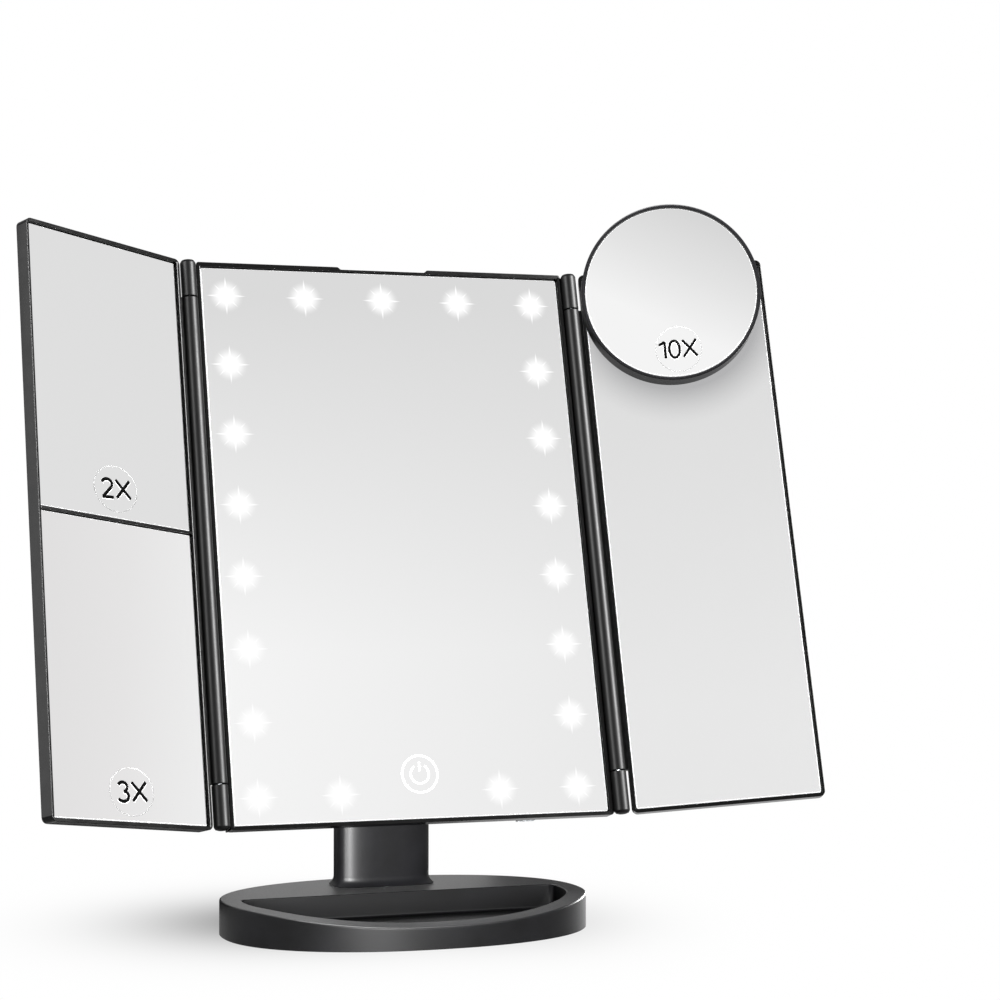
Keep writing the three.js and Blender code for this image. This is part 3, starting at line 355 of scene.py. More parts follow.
def srgb(code: str) -> Tuple[float, float, float, float]:
    """Linear colour from a hexadecimal sRGB code."""
    channels = [int(code[i : i + 2], 16) / 255 for i in (1, 3, 5)]
    linear = [c / 12.92 if c <= 0.04045 else ((c + 0.055) / 1.055) ** 2.4 for c in channels]
    return (*linear, 1.0)


def step(operation: str, swapped: bool = False) -> Callable[..., "Signal"]:
    """Make the operator that adds one step of arithmetic to a signal's tree.

    Args:
        operation: The Math node's operation.
        swapped: Whether the signal comes last.

    Returns:
        The method for Signal.
    """

    def method(self: "Signal", *others: "Value") -> "Signal":
        """One step of arithmetic."""
        values = (*others, self) if swapped else (self, *others)
        return self.net.math(operation, *values)

    return method


@dataclass(frozen=True)
class Signal:
    """A value in a node tree that takes ordinary arithmetic."""

    net: "Net"
    socket: bpy.types.NodeSocket

    __add__, __mul__, __truediv__ = step("ADD"), step("MULTIPLY"), step("DIVIDE")
    __sub__, __rsub__ = step("SUBTRACT"), step("SUBTRACT", swapped=True)
    __gt__, __lt__ = step("GREATER_THAN"), step("LESS_THAN")
    __abs__, most = step("ABSOLUTE"), step("MAXIMUM")

    def length(self, other: "Signal") -> "Signal":
        """Length of the vector with these two parts."""
        return self.net.math("SQRT", self * self + other * other)

    def fold(self, pitch: float) -> "Signal":
        """Distance to the nearest of marks that stand an even pitch apart."""
        return self.net.math("PINGPONG", self, pitch / 2)

    def spread(self, source: Pair, target: Pair = (0.0, 1.0), smooth: bool = False) -> "Signal":
        """Map a range of values to another, clamped."""
        kind = "SMOOTHSTEP" if smooth else "LINEAR"
        inputs = dict(enumerate((self, *source, *target)))
        return self.net.value("MapRange", 0, inputs, interpolation_type=kind)

    def vary(self, low: float, high: float) -> "Signal":
        """Map the usual range of a noise to another."""
        return self.spread(NOISE_SPAN, (low, high))

    def ramp(self, *stops: Tuple[float, str]) -> "Signal":
        """Colour ramp from (position, sRGB code) stops."""
        node = self.net.node("ValToRGB", {"Fac": self})
        elements = node.color_ramp.elements
        while len(elements) < len(stops):
            elements.new(1.0)
        for element, (position, code) in zip(elements, stops):
            element.position, element.color = position, srgb(code)
        return Signal(self.net, node.outputs["Color"])

    def tint(self, dark: str, light: str) -> "Signal":
        """Colour over the usual range of a noise."""
        return self.ramp((NOISE_SPAN[0], dark), (NOISE_SPAN[1], light))


Value = Union[float, Sequence[float], Signal]
NOISE_SPAN = (0.3, 0.7)
DIAGONAL = math.sqrt(0.5)
WHITE = (1.0, 1.0, 1.0, 1.0)


@dataclass(frozen=True)
class Net:
    """A node tree with short ways to add its nodes."""

    tree: bpy.types.NodeTree

    def feed(self, socket: bpy.types.NodeSocket, value: Value) -> None:
        """Link a signal to an input, or set the input to a value."""
        if isinstance(value, Signal):
            self.tree.links.new(value.socket, socket)
        else:
            socket.default_value = value

    def node(self, kind: str, inputs: Optional[dict] = None, **settings: str) -> bpy.types.Node:
        """Add a node with its settings and its inputs."""
        made = self.tree.nodes.new(f"ShaderNode{kind}")
        for key, value in settings.items():
            setattr(made, key, value)
        for key, value in (inputs or {}).items():
            self.feed(made.inputs[key], value)
        return made

    def value(
        self, kind: str, output: Union[int, str], inputs: Optional[dict] = None, **settings: str
    ) -> Signal:
        """Add a node and take one of its outputs."""
        return Signal(self, self.node(kind, inputs, **settings).outputs[output])

    def math(self, operation: str, *values: Value) -> Signal:
        """One step of arithmetic."""
        return self.value("Math", 0, dict(enumerate(values)), operation=operation)

    def mixed(self, factor: Value, first: Value, second: Value) -> Signal:
        """Mix of two colours."""
        return self.value("Mix", 2, {"Factor": factor, 6: first, 7: second}, data_type="RGBA")

    def axes(self, at: Signal) -> List[Signal]:
        """The three coordinates of a vector."""
        return [Signal(self, socket) for socket in self.node("SeparateXYZ", {0: at}).outputs]

    def local_mm(self, place: Matrix = WORLD) -> Signal:
        """Object coordinates as millimetres in a sub-assembly's own frame."""
        inputs = {
            "Vector": self.value("TexCoord", "Object"),
            "Location": place.to_translation() * MM,
            "Rotation": place.to_euler("XYZ"),
            "Scale": (MM, MM, MM),
        }
        return self.value("Mapping", 0, inputs, vector_type="TEXTURE")

    def noise(self, at: Signal, size_mm: float, detail: float = 3.0) -> Signal:
        """Noise whose features are size_mm across."""
        inputs = {"Vector": at, "Scale": 1 / size_mm, "Detail": detail, "Roughness": 0.55}
        return self.value("TexNoise", "Fac", inputs)

    def bump(self, height: Signal, depth_mm: float, strength: float) -> Signal:
        """Bump normal from a height of 0 to 1 that stands for depth_mm."""
        inputs = {"Height": height, "Distance": depth_mm * MM, "Strength": strength}
        return self.value("Bump", "Normal", inputs)


@dataclass(frozen=True)
class Finish:
    """A procedural surface. Its material is built when it is first asked for."""

    name: str
    slot: str

    def paint(self, net: Net) -> Dict[str, Value]:
        """Inputs of the principled shader, named with _ for a space."""
        raise NotImplementedError

    def material(self) -> bpy.types.Material:
        """The finish's material."""
        found = bpy.data.materials.get(self.name)
        if found:
            return found
        made = bpy.data.materials.new(self.name)
        made.use_nodes = True
        net = Net(made.node_tree)
        shader = made.node_tree.nodes["Principled BSDF"]
        for key, value in self.paint(net).items():
            net.feed(shader.inputs[key.replace("_", " ")], value)
        return made


@dataclass(frozen=True)
class GlossBlack(Finish):
    """Injection-moulded black ABS: polished faces, hinge barrels from a duller turned core."""

    dark: str = "#010101"
    light: str = "#020202"
    roughness: float = 0.17
    barrel_roughness: float = 0.42
    barrel_blend: Pair = (3.45, 3.35)
    ior: float = 1.14

    def paint(self, net: Net) -> Dict[str, Value]:
        """Faint flow and wiping marks and orange peel, duller on the barrels."""
        at = net.local_mm()
        flow = net.noise(at, 26.0)  # faint flow marks of the melt
        peel = net.noise(at, 1.6, 2.0)  # orange peel that a polished tool leaves
        wipe = net.noise(at, 7.0)  # wiping marks in the gloss
        x, y, _ = net.axes(net.local_mm(HEAD))
        away = (abs(x) - HINGE_X).length(y - BARREL_Y)
        dull = away.spread(self.barrel_blend, (self.roughness, self.barrel_roughness))
        return dict(
            Base_Color=flow.ramp((0.1, self.dark), (0.9, self.light)),
            Roughness=dull + wipe.vary(-0.02, 0.03),
            IOR=self.ior,
            Normal=net.bump(peel, 0.004, 0.4),
        )


@dataclass(frozen=True)
class SatinCharcoal(Finish):
    """Moulded ABS from a spark-eroded tool: charcoal, its fine even grain scatters light."""

    dark: str = "#020202"
    light: str = "#050506"
    roughness: float = 0.38
    grain_mm: float = 0.35
    ior: float = 1.2

    def paint(self, net: Net) -> Dict[str, Value]:
        """Slow tone change of the pigment under the tool's fine grain."""
        at = net.local_mm()
        cloud = net.noise(at, 18.0)  # slow tone change of the pigment
        grain = net.noise(at, self.grain_mm, 2.0)  # erosion grain of the tool
        return dict(
            Base_Color=(cloud * 0.75 + grain * 0.25).tint(self.dark, self.light),
            Roughness=grain.vary(self.roughness - 0.04, self.roughness + 0.06),
            IOR=self.ior,
            Normal=net.bump(grain, 0.02, 0.35),
        )


def run(x: Signal, z: Signal, along: Pair, span: Pair, *greys: str) -> Signal:
    """Greys that follow each other evenly over a pane.

    Args:
        x: Distance from the hinge or the middle.
        z: Height.
        along: Weights of x and z in the direction of the run.
        span: Where it starts and ends.
        greys: The sRGB codes.

    Returns:
        The colour.
    """
    way = x * along[0] + z * along[1]
    stops = ((i / (len(greys) - 1), grey) for i, grey in enumerate(greys))
    return way.spread(span).ramp(*stops)


# The grey runs below are painted reflections of the light tent, set in the silvered face's colour.
def centre_shade(x: Signal, z: Signal) -> Signal:
    """Grey at the top to near white low on the left."""
    sink = z.spread((105.0, -48.0)) * x.spread((-80.0, 80.0), (1.0, 0.6))
    return sink.ramp((0.0, "#dadada"), (0.5, "#e7e7e7"), (1.0, "#f4f4f4"))


def even_shade(x: Signal, z: Signal) -> Signal:
    """Nearly even light grey."""
    return run(x, z, (0.0, 1.0), (120.0, 0.0), "#dedede", "#e0e0e0")


def corner_shade(x: Signal, z: Signal) -> Signal:
    """Lighter towards the hinge and downwards."""
    return run(x, z, (1.0, -0.12), (-84.0, 6.0), "#e0dfdf", "#e5e4e4", "#ededed")


def falling_shade(x: Signal, z: Signal) -> Signal:
    """Light grey that brightens downwards, with the soft shade that the round mirror throws painted
    in.
    """
    light = run(x, z, (0.0, 1.0), (70.0, -75.0), "#dedede", "#e3e3e3", "#e8e8e8")
    # Painted shade round the round mirror, darkest at its edge and gone by end.
    middle_x, middle_z, dark_edge, end, depth = 45.0, 101.0, 37.5, 54.0, 0.62
    fall = (x - middle_x).length(z - middle_z).spread((dark_edge, end), (depth, 0.0))
    return x.net.mixed(x.net.math("POWER", fall, 1.5), light, srgb("#707074"))


def round_shade(x: Signal, z: Signal) -> Signal:
    """Grey at the upper right to near white at the lower left."""
    return run(x, z, (-0.5, -0.87), (-36.0, 14.0), "#d6d6d6", "#e4e4e4", "#f4f4f4")


class Shade(Enum):
    """How the silvered face's grey runs, a painted reflection of the light tent round it."""

    CENTRE = "centre"
    EVEN = "even"
    CORNER = "corner"
    FALLING = "falling"
    ROUND = "round"


SHADES: Dict[Shade, Callable[[Signal, Signal], Signal]] = {
    Shade.CENTRE: centre_shade,
    Shade.EVEN: even_shade,
    Shade.CORNER: corner_shade,
    Shade.FALLING: falling_shade,
    Shade.ROUND: round_shade,
}


def star(u: Signal, v: Signal) -> Signal:
    """One light: a white core, four long thin rays and four short ones between them."""
    long, short, core_edge, core_full = (8.9, 1.1), (7.5, 0.95), 7.8, 2.4
    u, v = abs(u), abs(v)

    def ray(along: Signal, across: Signal, reach: float, width: float) -> Signal:
        """Thin ray, as long as reach and tapering from width."""
        share = along / reach
        return (share * share + across / width).spread((1.0, 0.55))

    slant, off = (u + v) * DIAGONAL, abs((u - v) * DIAGONAL)
    core = u.length(v).spread((core_edge, core_full), smooth=True)
    return ray(u, v, *long).most(ray(v, u, *long)).most(ray(slant, off, *short)).most(core)


def light_ring(x: Signal, z: Signal) -> Signal:
    """The glow of the lights through their windows in the silvering, as rows of stars."""
    side, end, middle_x, middle_z = 68.3, 106.0, -1.2, -0.7
    pitch_x, pitch_z = side / 2, end * 2 / 7
    x, z = x - middle_x, z - middle_z
    abs_x, abs_z = abs(x), abs(z)
    column = star(abs_x - side, (z - end).fold(pitch_z))
    row = star((x - side).fold(pitch_x), abs_z - end)
    kept = 1.0 - (z < 0.0) * (abs_x < pitch_x / 2)
    return (column * (abs_x > side - pitch_x / 2)).most(row * kept)


@dataclass(frozen=True)
class SilveredGlass(Finish):
    """Float glass silvered behind: bright, with the grey run of the light tent in a soft polish."""

    place: str = "head"
    shade: Shade = Shade.CENTRE
    roughness: float = 0.08
    lights: bool = False
    glow: float = 1.12

    def paint(self, net: Net) -> Dict[str, Value]:
        """The grey run, a soft polish and, where lit, the row of stars."""
        at = net.local_mm(PLACES[self.place])
        x, _, z = net.axes(at)
        # Painted reflection: the light tent's grey run becomes the silvered face's colour.
        tone = SHADES[self.shade](x, z)
        polish = net.noise(at, 35.0).vary(self.roughness * 0.85, self.roughness * 1.15)
        inputs = dict(Base_Color=tone, Metallic=1.0, Roughness=polish)
        if self.lights:
            glow = light_ring(x, z) * ((1.0 - tone) * self.glow)
            inputs.update(Emission_Color=WHITE, Emission_Strength=glow)
        return inputs


@dataclass(frozen=True)
class GroundEdge(Finish):
    """Bevel ground on glass and left matt: frosty white, with a painted highlight glowing along it.
    """

    def paint(self, net: Net) -> Dict[str, Value]:
        """Fine frosted grain, and a white glow that is a painted highlight."""
        frost_and_glow = net.noise(net.local_mm(), 0.25, 2.0)
        return dict(
            Base_Color=frost_and_glow.tint("#f4f6f6", "#ffffff"),
            Roughness=0.35,
            # Painted highlight: the ground edge glows white.
            Emission_Color=WHITE,
            Emission_Strength=frost_and_glow.vary(0.55, 0.75),
            Normal=net.bump(frost_and_glow, 0.02, 0.4),
        )


@dataclass(frozen=True)
class PlatedMetal(Finish):
    """Zinc or nickel plated metal with the fine lines of its turning or stamping."""

    dark: str = "#9a9da1"
    light: str = "#c6c9cc"
    roughness: float = 0.32
    streak: Triple = (0.2, 0.2, 6.0)

    def paint(self, net: Net) -> Dict[str, Value]:
        """Fine lines and slow stains in the plating."""
        at = net.local_mm()
        scale = [1 / size for size in self.streak]
        stretched = net.value("Mapping", 0, {"Vector": at, "Scale": scale})
        lines = net.value("TexNoise", 0, {"Vector": stretched, "Scale": 1.0, "Detail": 3.0})
        stain = net.noise(at, 5.0)
        return dict(
            Base_Color=(lines * 0.5 + stain * 0.5).tint(self.dark, self.light),
            Metallic=1.0,
            Roughness=stain.vary(self.roughness - 0.06, self.roughness + 0.1),
            Normal=net.bump(lines, 0.01, 0.4),
        )


@dataclass(frozen=True)
class SolderMask(Finish):
    """Fibreglass board under green solder mask, its copper tracks and tinned pads showing."""

    mask: str = "#14452c"
    track: str = "#226b43"
    pad: str = "#c9c6b8"
    pitch_mm: float = 2.54
    pad_radius: float = 0.42

    def paint(self, net: Net) -> Dict[str, Value]:
        """Weave, tracks and rows of pads."""
        at = net.local_mm(HEAD)
        x, _, z = net.axes(at)
        weave = net.noise(at, 0.4, 1.0)
        bricks = {"Vector": at, "Scale": 1.0 / (2 * self.pitch_mm), "Mortar Size": 0.03}
        route = net.value("TexBrick", "Fac", bricks)
        on_x, on_z = (value.fold(self.pitch_mm) < self.pad_radius for value in (x, z))
        pads = on_x * on_z * (net.noise(at, 9.0) > 0.55)
        tracks = net.mixed(route, srgb(self.mask), srgb(self.track))
        return dict(
            Base_Color=net.mixed(pads, tracks, srgb(self.pad)),
            Metallic=pads,
            Roughness=weave.vary(0.3, 0.42),
            Normal=net.bump(route + weave * 0.3, 0.03, 0.5),
        )


@dataclass(frozen=True)
class LightStrip(Finish):
    """White flexible strip with the yellow phosphor of its lights."""

    light_front: float = 3.95

    def paint(self, net: Net) -> Dict[str, Value]:
        """Phosphor on the front of the lights, specks all over."""
        at = net.local_mm(HEAD)
        speck = net.noise(at, 0.6, 2.0)
        white, phosphor = speck.tint("#e4e4de", "#f3f3ee"), speck.tint("#e8d264", "#f6e68c")
        return dict(
            Base_Color=net.mixed(net.axes(at)[1] < self.light_front, white, phosphor),
            Roughness=0.5,
            Normal=net.bump(speck, 0.02, 0.3),
        )


@dataclass(frozen=True)
class CellSleeve(Finish):
    """Shrink sleeve of an unmarked cell: blue body, a light band, bare steel ends."""

    middle: float = 32.0
    half_length: float = 24.6
    band_start: float = 44.0

    def paint(self, net: Net) -> Dict[str, Value]:
        """Sleeve, band and bare ends, a little creased."""
        at = net.local_mm(HEAD)
        z = net.axes(at)[2]
        crease = net.noise(at, 3.0)
        ends = abs(z - self.middle) > self.half_length
        body, band = crease.tint("#2d4768", "#3a5980"), crease.tint("#b4bac0", "#cdd2d6")
        return dict(
            Base_Color=net.mixed(
                ends, net.mixed(z > self.band_start, body, band), srgb("#b9bcc0")
            ),
            Metallic=ends,
            Roughness=0.3,
            Normal=net.bump(crease, 0.05, 0.2),
        )


@dataclass(frozen=True)
class ClearFilm(Finish):
    """Die-cut clear vinyl: barely seen but for a hair of grey at its cut edge."""

    place: str
    centre: Triple
    radii: Pair

    def paint(self, net: Net) -> Dict[str, Value]:
        """Nothing but the cut edge, painted darker below and lighter above, and a slight haze."""
        at = net.local_mm(PLACES[self.place])
        x, _, z = net.axes(at)
        up = (z - self.centre[2]) / self.radii[1]
        far = ((x - self.centre[0]) / self.radii[0]).length(up)
        rim = far.spread((0.962, 0.988), smooth=True)
        # Painted shade and highlight: the cut edge's grey runs from dark below to light above.
        tint = up.spread((-0.2, 0.7)).ramp((0.0, "#7c7c7c"), (1.0, "#d4d4d4"))
        return dict(
            Base_Color=net.mixed(rim, WHITE, tint),
            Roughness=net.noise(at, 4.0).vary(0.12, 0.22),
            Alpha=rim.spread((0.0, 1.0), (0.0, 0.34)),
            IOR=1.05,
        )


@dataclass(frozen=True)
class PrintInk(Finish):
    """Screen-printed ink: dense, matt, with the faint mottle of the mesh."""

    colour: str = "#010101"
    glow: float = 0.0

    def paint(self, net: Net) -> Dict[str, Value]:
        """Mottled ink, glowing where it has a glow: the lit touch mark, and the white halo ink with
        painted light.
        """
        mottle = net.noise(net.local_mm(), 0.3, 2.0)
        colour = srgb(self.colour)
        inputs = dict(
            Base_Color=net.mixed(mottle.vary(0.0, 0.12), colour, srgb("#3a3a3a")),
            Roughness=0.6,
            IOR=1.08,
            Normal=net.bump(mottle, 0.01, 0.3),
        )
        if self.glow:
            inputs.update(Emission_Color=colour, Emission_Strength=self.glow)
        return inputs


@dataclass(frozen=True)
class ClearRubber(Finish):
    """Moulded clear PVC of a suction cup: milky, wet-looking, a little see-through."""

    def paint(self, net: Net) -> Dict[str, Value]:
        """Milky clouds under a wet-looking skin."""
        cloud = net.noise(net.local_mm(CUP), 6.0)
        return dict(
            Base_Color=cloud.tint("#ccd3d6", "#e2e7ea"),
            Roughness=cloud.vary(0.14, 0.26),
            Alpha=0.72,
            IOR=1.5,
            Normal=net.bump(cloud, 0.05, 0.2),
        )


@dataclass(frozen=True)
class PadFoam(Finish):
    """Die-cut EVA foam sheet: black, matt, with open pores at its skin."""

    pore_mm: float = 0.7

    def paint(self, net: Net) -> Dict[str, Value]:
        """Dark pores in a matt skin."""
        inputs = {"Vector": net.local_mm(), "Scale": 1 / self.pore_mm}
        cells = net.value("TexVoronoi", "Distance", inputs)
        return dict(
            Base_Color=cells.ramp((0.1, "#0f0f10"), (0.6, "#242426")),
            Roughness=0.92,
            IOR=1.4,
            Normal=net.bump(cells, 0.2, 0.6),
        )


GLOSS = GlossBlack("gloss_black_abs", "gloss_black")
SATIN = SatinCharcoal("satin_charcoal_abs", "satin_charcoal")
RIM_SATIN = SatinCharcoal("satin_rim_abs", "satin_charcoal", "#070708", "#0c0c0e")
EDGE = GroundEdge("ground_glass_edge", "silvered_glass")
STEEL = PlatedMetal("zinc_plated_steel", "steel")
WEIGHT_STEEL = PlatedMetal("rolled_steel", "steel", "#6f7276", "#96999d", 0.45, (12.0, 0.4, 0.4))
BRASS = PlatedMetal("nickel_washed_brass", "brass", "#a9863f", "#d0b06a", 0.33)
BOARD = SolderMask("green_solder_mask", "circuit_green")
STRIP = LightStrip("light_strip", "strip_white")
SLEEVE = CellSleeve("cell_sleeve", "cell_wrap")
RUBBER = ClearRubber("clear_rubber", "clear_rubber")
FOAM = PadFoam("pad_foam", "pad_foam")
INK = PrintInk("black_ink", "clear_film")
# The white halo ink's glow is painted light that keeps it bright white.
HALO_INK = PrintInk("white_ink", "clear_film", "#ffffff", 0.5)
GLOW = PrintInk("touch_mark_light", "silvered_glass", "#ffffff", 1.0)


# Each lamp lights one of these groups. The silvered panes and the films on them are in none, as if
# each lamp had a card that keeps its own reflection out of the glass.
GLOSSY_PIECES, SATIN_PIECES, COLUMN_PIECES, RIM_PIECES = (
    bpy.data.collections.new(f"{kind}_pieces") for kind in ("glossy", "satin", "column", "rim")
)


def light_group(finish: Finish) -> Optional[bpy.types.Collection]:
    """The group of lamp-lit pieces that a finish belongs to."""
    if isinstance(finish, (SilveredGlass, ClearFilm, PrintInk)):
        return None
    if finish is RIM_SATIN:
        return RIM_PIECES
    return GLOSSY_PIECES if isinstance(finish, GlossBlack) else SATIN_PIECES


def dress(
    obj: Object,
    body: str,
    finish: Finish,
    place: Matrix,
    replaces: Sequence[str] = (),
    smooth: Optional[float] = None,
    group: Optional[bpy.types.Collection] = None,
) -> Object:
    """Put a drawn piece in its place with its finish.

    Args:
        obj: The piece, in millimetres in its own frame.
        body: The CAD body that it rides on.
        finish: Its finish. A piece that already has materials keeps them.
        place: Its frame.
        replaces: The CAD nodes that it stands for.
        smooth: Largest angle in degrees between faces shaded as one, or None for flat faces.
        group: The group of lamp-lit pieces it joins in place of its finish's own.

    Returns:
        The same object.
    """
    obj.data.transform(Matrix.Scale(MM, 4) @ place)
    if not obj.data.materials:
        obj.data.materials.append(finish.material())
    if smooth is not None:
        select_only(obj)
        bpy.ops.object.shade_smooth_by_angle(angle=math.radians(smooth))
        modify(obj, "WEIGHTED_NORMAL", keep_sharp=True)
    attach(obj, body)
    if replaces:
        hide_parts(*replaces)
    group = group or light_group(finish)
    if group:
        group.objects.link(obj)
    LOG.info("%s: %d faces on %s", obj.name, len(obj.data.polygons), body)
    return obj


def repaint(nodes: Sequence[str], finish: Finish) -> None:
    """Give CAD nodes whose shape is right a procedural finish."""
    for name in nodes:
        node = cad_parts[name]
        node.data.materials.clear()
        node.data.materials.append(finish.material())
        light_group(finish).objects.link(node)
        LOG.info("%s: %s", name, finish.name)


@dataclass
class Base:
    """Oval tray base with its lowered front rim."""

    half_width: float = 77.3
    half_depth: float = 55.3
    power: float = 2.2
    bottom: float = 0.2
    bottom_edge: float = 0.15
    height: float = 14.6
    front_drop: float = 5.5
    drop_start: float = -18.0
    drop_power: float = 1.7
    rim: float = 0.8
    tray_width: float = 68.9
    tray_depth: float = 49.3
    tray_back: float = 7.0
    tray_floor: float = 4.4
    tray_edge: float = 0.5
    tray_fillet: float = 1.2
    skirt: float = 2.2
    under_tray: float = 2.4
    cavity_top: float = 12.6
    screw_offset: float = 5.0
    screw_hole: float = 1.4
    tray_wall: float = 2.0
    centre: Pair = (0.0, -14.0)
    points: int = 240
    halvings: int = 40
    corner_sharpness: float = 0.7

    def reach(self, angle: float, half_x: float, half_y: float) -> float:
        """Distance from the tray's centre to a superellipse along one direction."""
        low, high = 0.0, 2 * self.half_width
        for _ in range(self.halvings):
            middle = (low + high) / 2
            x, y = self.at(angle, middle)
            inside = abs(x / half_x) ** self.power + abs(y / half_y) ** self.power < 1
            low, high = (middle, high) if inside else (low, middle)
        return low

    def outer(self, inset: float) -> Outline:
        """Outline of the base, drawn in by inset."""
        half_x, half_y = self.half_width - inset, self.half_depth - inset
        return [self.at(angle, self.reach(angle, half_x, half_y)) for angle in self.angles()]

    def tray(self, grow: float) -> Outline:
        """Outline of the tray with soft corners, grown outwards."""
        outline = []
        for angle in self.angles():
            far = self.reach(angle, self.tray_width + grow, self.tray_depth + grow)
            rise = math.sin(angle)
            if rise > 0:
                wall = (self.tray_back + grow - self.centre[1]) / rise
                nearest, k = min(far, wall), self.corner_sharpness
                mix = math.exp(-k * (far - nearest)) + math.exp(-k * (wall - nearest))
                far = nearest - math.log(mix) / k
            outline.append(self.at(angle, far))
        return outline

    def angles(self) -> List[float]:
        """Directions of the outline's points."""
        return [math.tau * (i + 0.5) / self.points for i in range(self.points)]

    def at(self, angle: float, distance: float) -> Pair:
        """Point at a direction and distance from the tray's centre."""
        x, y = self.centre
        return x + distance * math.cos(angle), y + distance * math.sin(angle)

    def under_top(self, outline: Outline, drop: float) -> Ring:
        """Lay an outline down under the top surface, which falls away to the front."""
        ring = []
        for x, y in outline:
            share = max(0.0, (self.drop_start - y) / (self.half_depth + self.drop_start))
            ring.append((x, y, self.height - self.front_drop * share**self.drop_power - drop))
        return ring

    def shell(self) -> Object:
        """Moulding with rounded outer edge, sloped front rim and sunk tray."""
        rings = [
            at_height(self.outer(self.skirt), self.under_tray),
            at_height(self.outer(self.skirt), self.bottom),
            at_height(self.outer(self.bottom_edge), self.bottom),
            at_height(self.outer(0.0), self.bottom + self.bottom_edge),
        ]
        rings += [self.under_top(self.outer(a), b) for a, b in quarter(self.rim, 5)]
        rings += [self.under_top(self.tray(b), a) for a, b in quarter(self.tray_edge, 3)]
        fillet = quarter(self.tray_fillet, 3)
        rings += [at_height(self.tray(-a), self.tray_floor + b) for a, b in fillet]
        shell = drawn_rings("base_shell_moulding", rings)
        half_x, half_y = self.half_width - self.skirt, self.half_depth - self.skirt
        hollow = superellipse(half_x, half_y, self.power, 96)
        hollow = [(x, max(y, self.tray_back + self.tray_wall)) for x, y in hollow]
        ends = (self.under_tray - 1, self.cavity_top)
        cutters = [drawn_rings("cavity", [at_height(hollow, z) for z in ends])]
        for y in (PIVOT.y - self.screw_offset, PIVOT.y + self.screw_offset):
            start, end = (0, y, self.cavity_top - 1), (0, y, self.height + 1)
            cutters.append(rod("hole", self.screw_hole, start, end))
        carve(shell, *cutters)
        return shell

    def build(self) -> None:
        """Model and dress the base."""
        dress(self.shell(), "stand", SATIN, WORLD, ["base_shell"], 38)
        repaint(["base_cover"], SATIN)
        repaint(["base_weight"], WEIGHT_STEEL)
        repaint(["base_pad"], FOAM)


@dataclass
class Neck:
    """Column in two halves with a rounded top about the tilt pin."""

    half_width: float = 20.0
    half_depth: float = 10.0
    power: float = 5.0
    foot: float = 14.9
    foot_edge: float = 0.3
    flare: float = 2.0
    flare_height: float = 4.0
    flare_power: float = 2.4
    wall: float = 2.4
    floor: float = 3.0
    split: float = 0.15
    points: int = 104
    bow: float = 0.12
    bore: float = 3.15
    wells: Pair = (48.0, 92.0)
    well_radius: float = 2.5
    well_depth: float = 4.0
    foot_holes: Pair = (-5.0, 5.0)
    foot_hole_radius: float = 1.3
    foot_hole_top: float = 24.0
    straight_top: float = 20.0

    def section(self, grow: float, z: float, limit: float = math.inf) -> Ring:
        """One ring of the column, its depth cut to a limit in the rounded top."""
        half_x, half_y = self.half_width + grow, self.half_depth + grow
        ring = []
        for x, y in superellipse(half_x, half_y, self.power, self.points):
            y *= 1 - self.bow * (x / self.half_width) ** 2
            ring.append((x, max(-limit, min(limit, y)) + PIVOT.y, z))
        return ring

    def crown(self, grow: float, end: float, steps: int) -> List[Ring]:
        """Rings of the rounded top about the tilt pin, up to an angle in degrees."""
        radius = self.half_depth + grow
        angles = [math.radians(end * k / steps) for k in range(1, steps + 1)]
        return [
            self.section(grow, PIVOT.z + radius * math.sin(a), radius * math.cos(a)) for a in angles
        ]

    def column(self) -> Object:
        """Outside of the column."""
        rings = [self.section(self.flare - self.foot_edge, self.foot)]
        for share in (k / 6 for k in range(7)):
            rise = self.foot_edge + (self.flare_height - self.foot_edge) * share
            flare = self.flare * (1 - share) ** self.flare_power
            rings.append(self.section(flare, self.foot + rise))
        rings += [self.section(0.0, PIVOT.z - self.straight_top), self.section(0.0, PIVOT.z)]
        return drawn_rings("column", rings + self.crown(0.0, 86, 12))

    def hollow(self) -> Object:
        """Inside of the column."""
        rings = [self.section(-self.wall, z) for z in (self.foot + self.floor, PIVOT.z)]
        return drawn_rings("inside", rings + self.crown(-self.wall, 84, 8))

    def half(self, whole: Object, name: str, side: int) -> None:
        """Dress the front (-1) or rear (1) half, cut from a copy of the column."""
        obj = whole.copy()
        obj.data = whole.data.copy()
        bpy.context.scene.collection.objects.link(obj)
        obj.name = f"{name}_moulding"
        with editing(obj):
            bpy.ops.mesh.bisect(
                plane_co=(0, PIVOT.y + side * self.split, 0),
                plane_no=(0, side, 0),
                use_fill=True,
                clear_inner=True,
                threshold=1e-4,
            )
            bpy.ops.mesh.select_all(action="SELECT")
            bpy.ops.mesh.normals_make_consistent(inside=False)
        dress(obj, "stand", SATIN, WORLD, [name], 35, COLUMN_PIECES)

    def build(self) -> None:
        """Model both halves and dress them."""
        whole = self.column()
        far, y, z = self.half_width + 10, PIVOT.y, PIVOT.z
        holes = [self.hollow(), rod("bore", self.bore, (-far, y, z), (far, y, z))]
        face = y + self.half_depth
        for z in self.wells:
            start, end = (0, face - self.well_depth, z), (0, face + 2, z)
            holes.append(rod("well", self.well_radius, start, end))
        for offset in self.foot_holes:
            start, end = (0, y + offset, self.foot - 1), (0, y + offset, self.foot_hole_top)
            holes.append(rod("foot", self.foot_hole_radius, start, end))
        carve(whole, *holes)
        self.half(whole, "neck_front", -1)
        self.half(whole, "neck_rear", 1)
        bpy.data.objects.remove(whole)


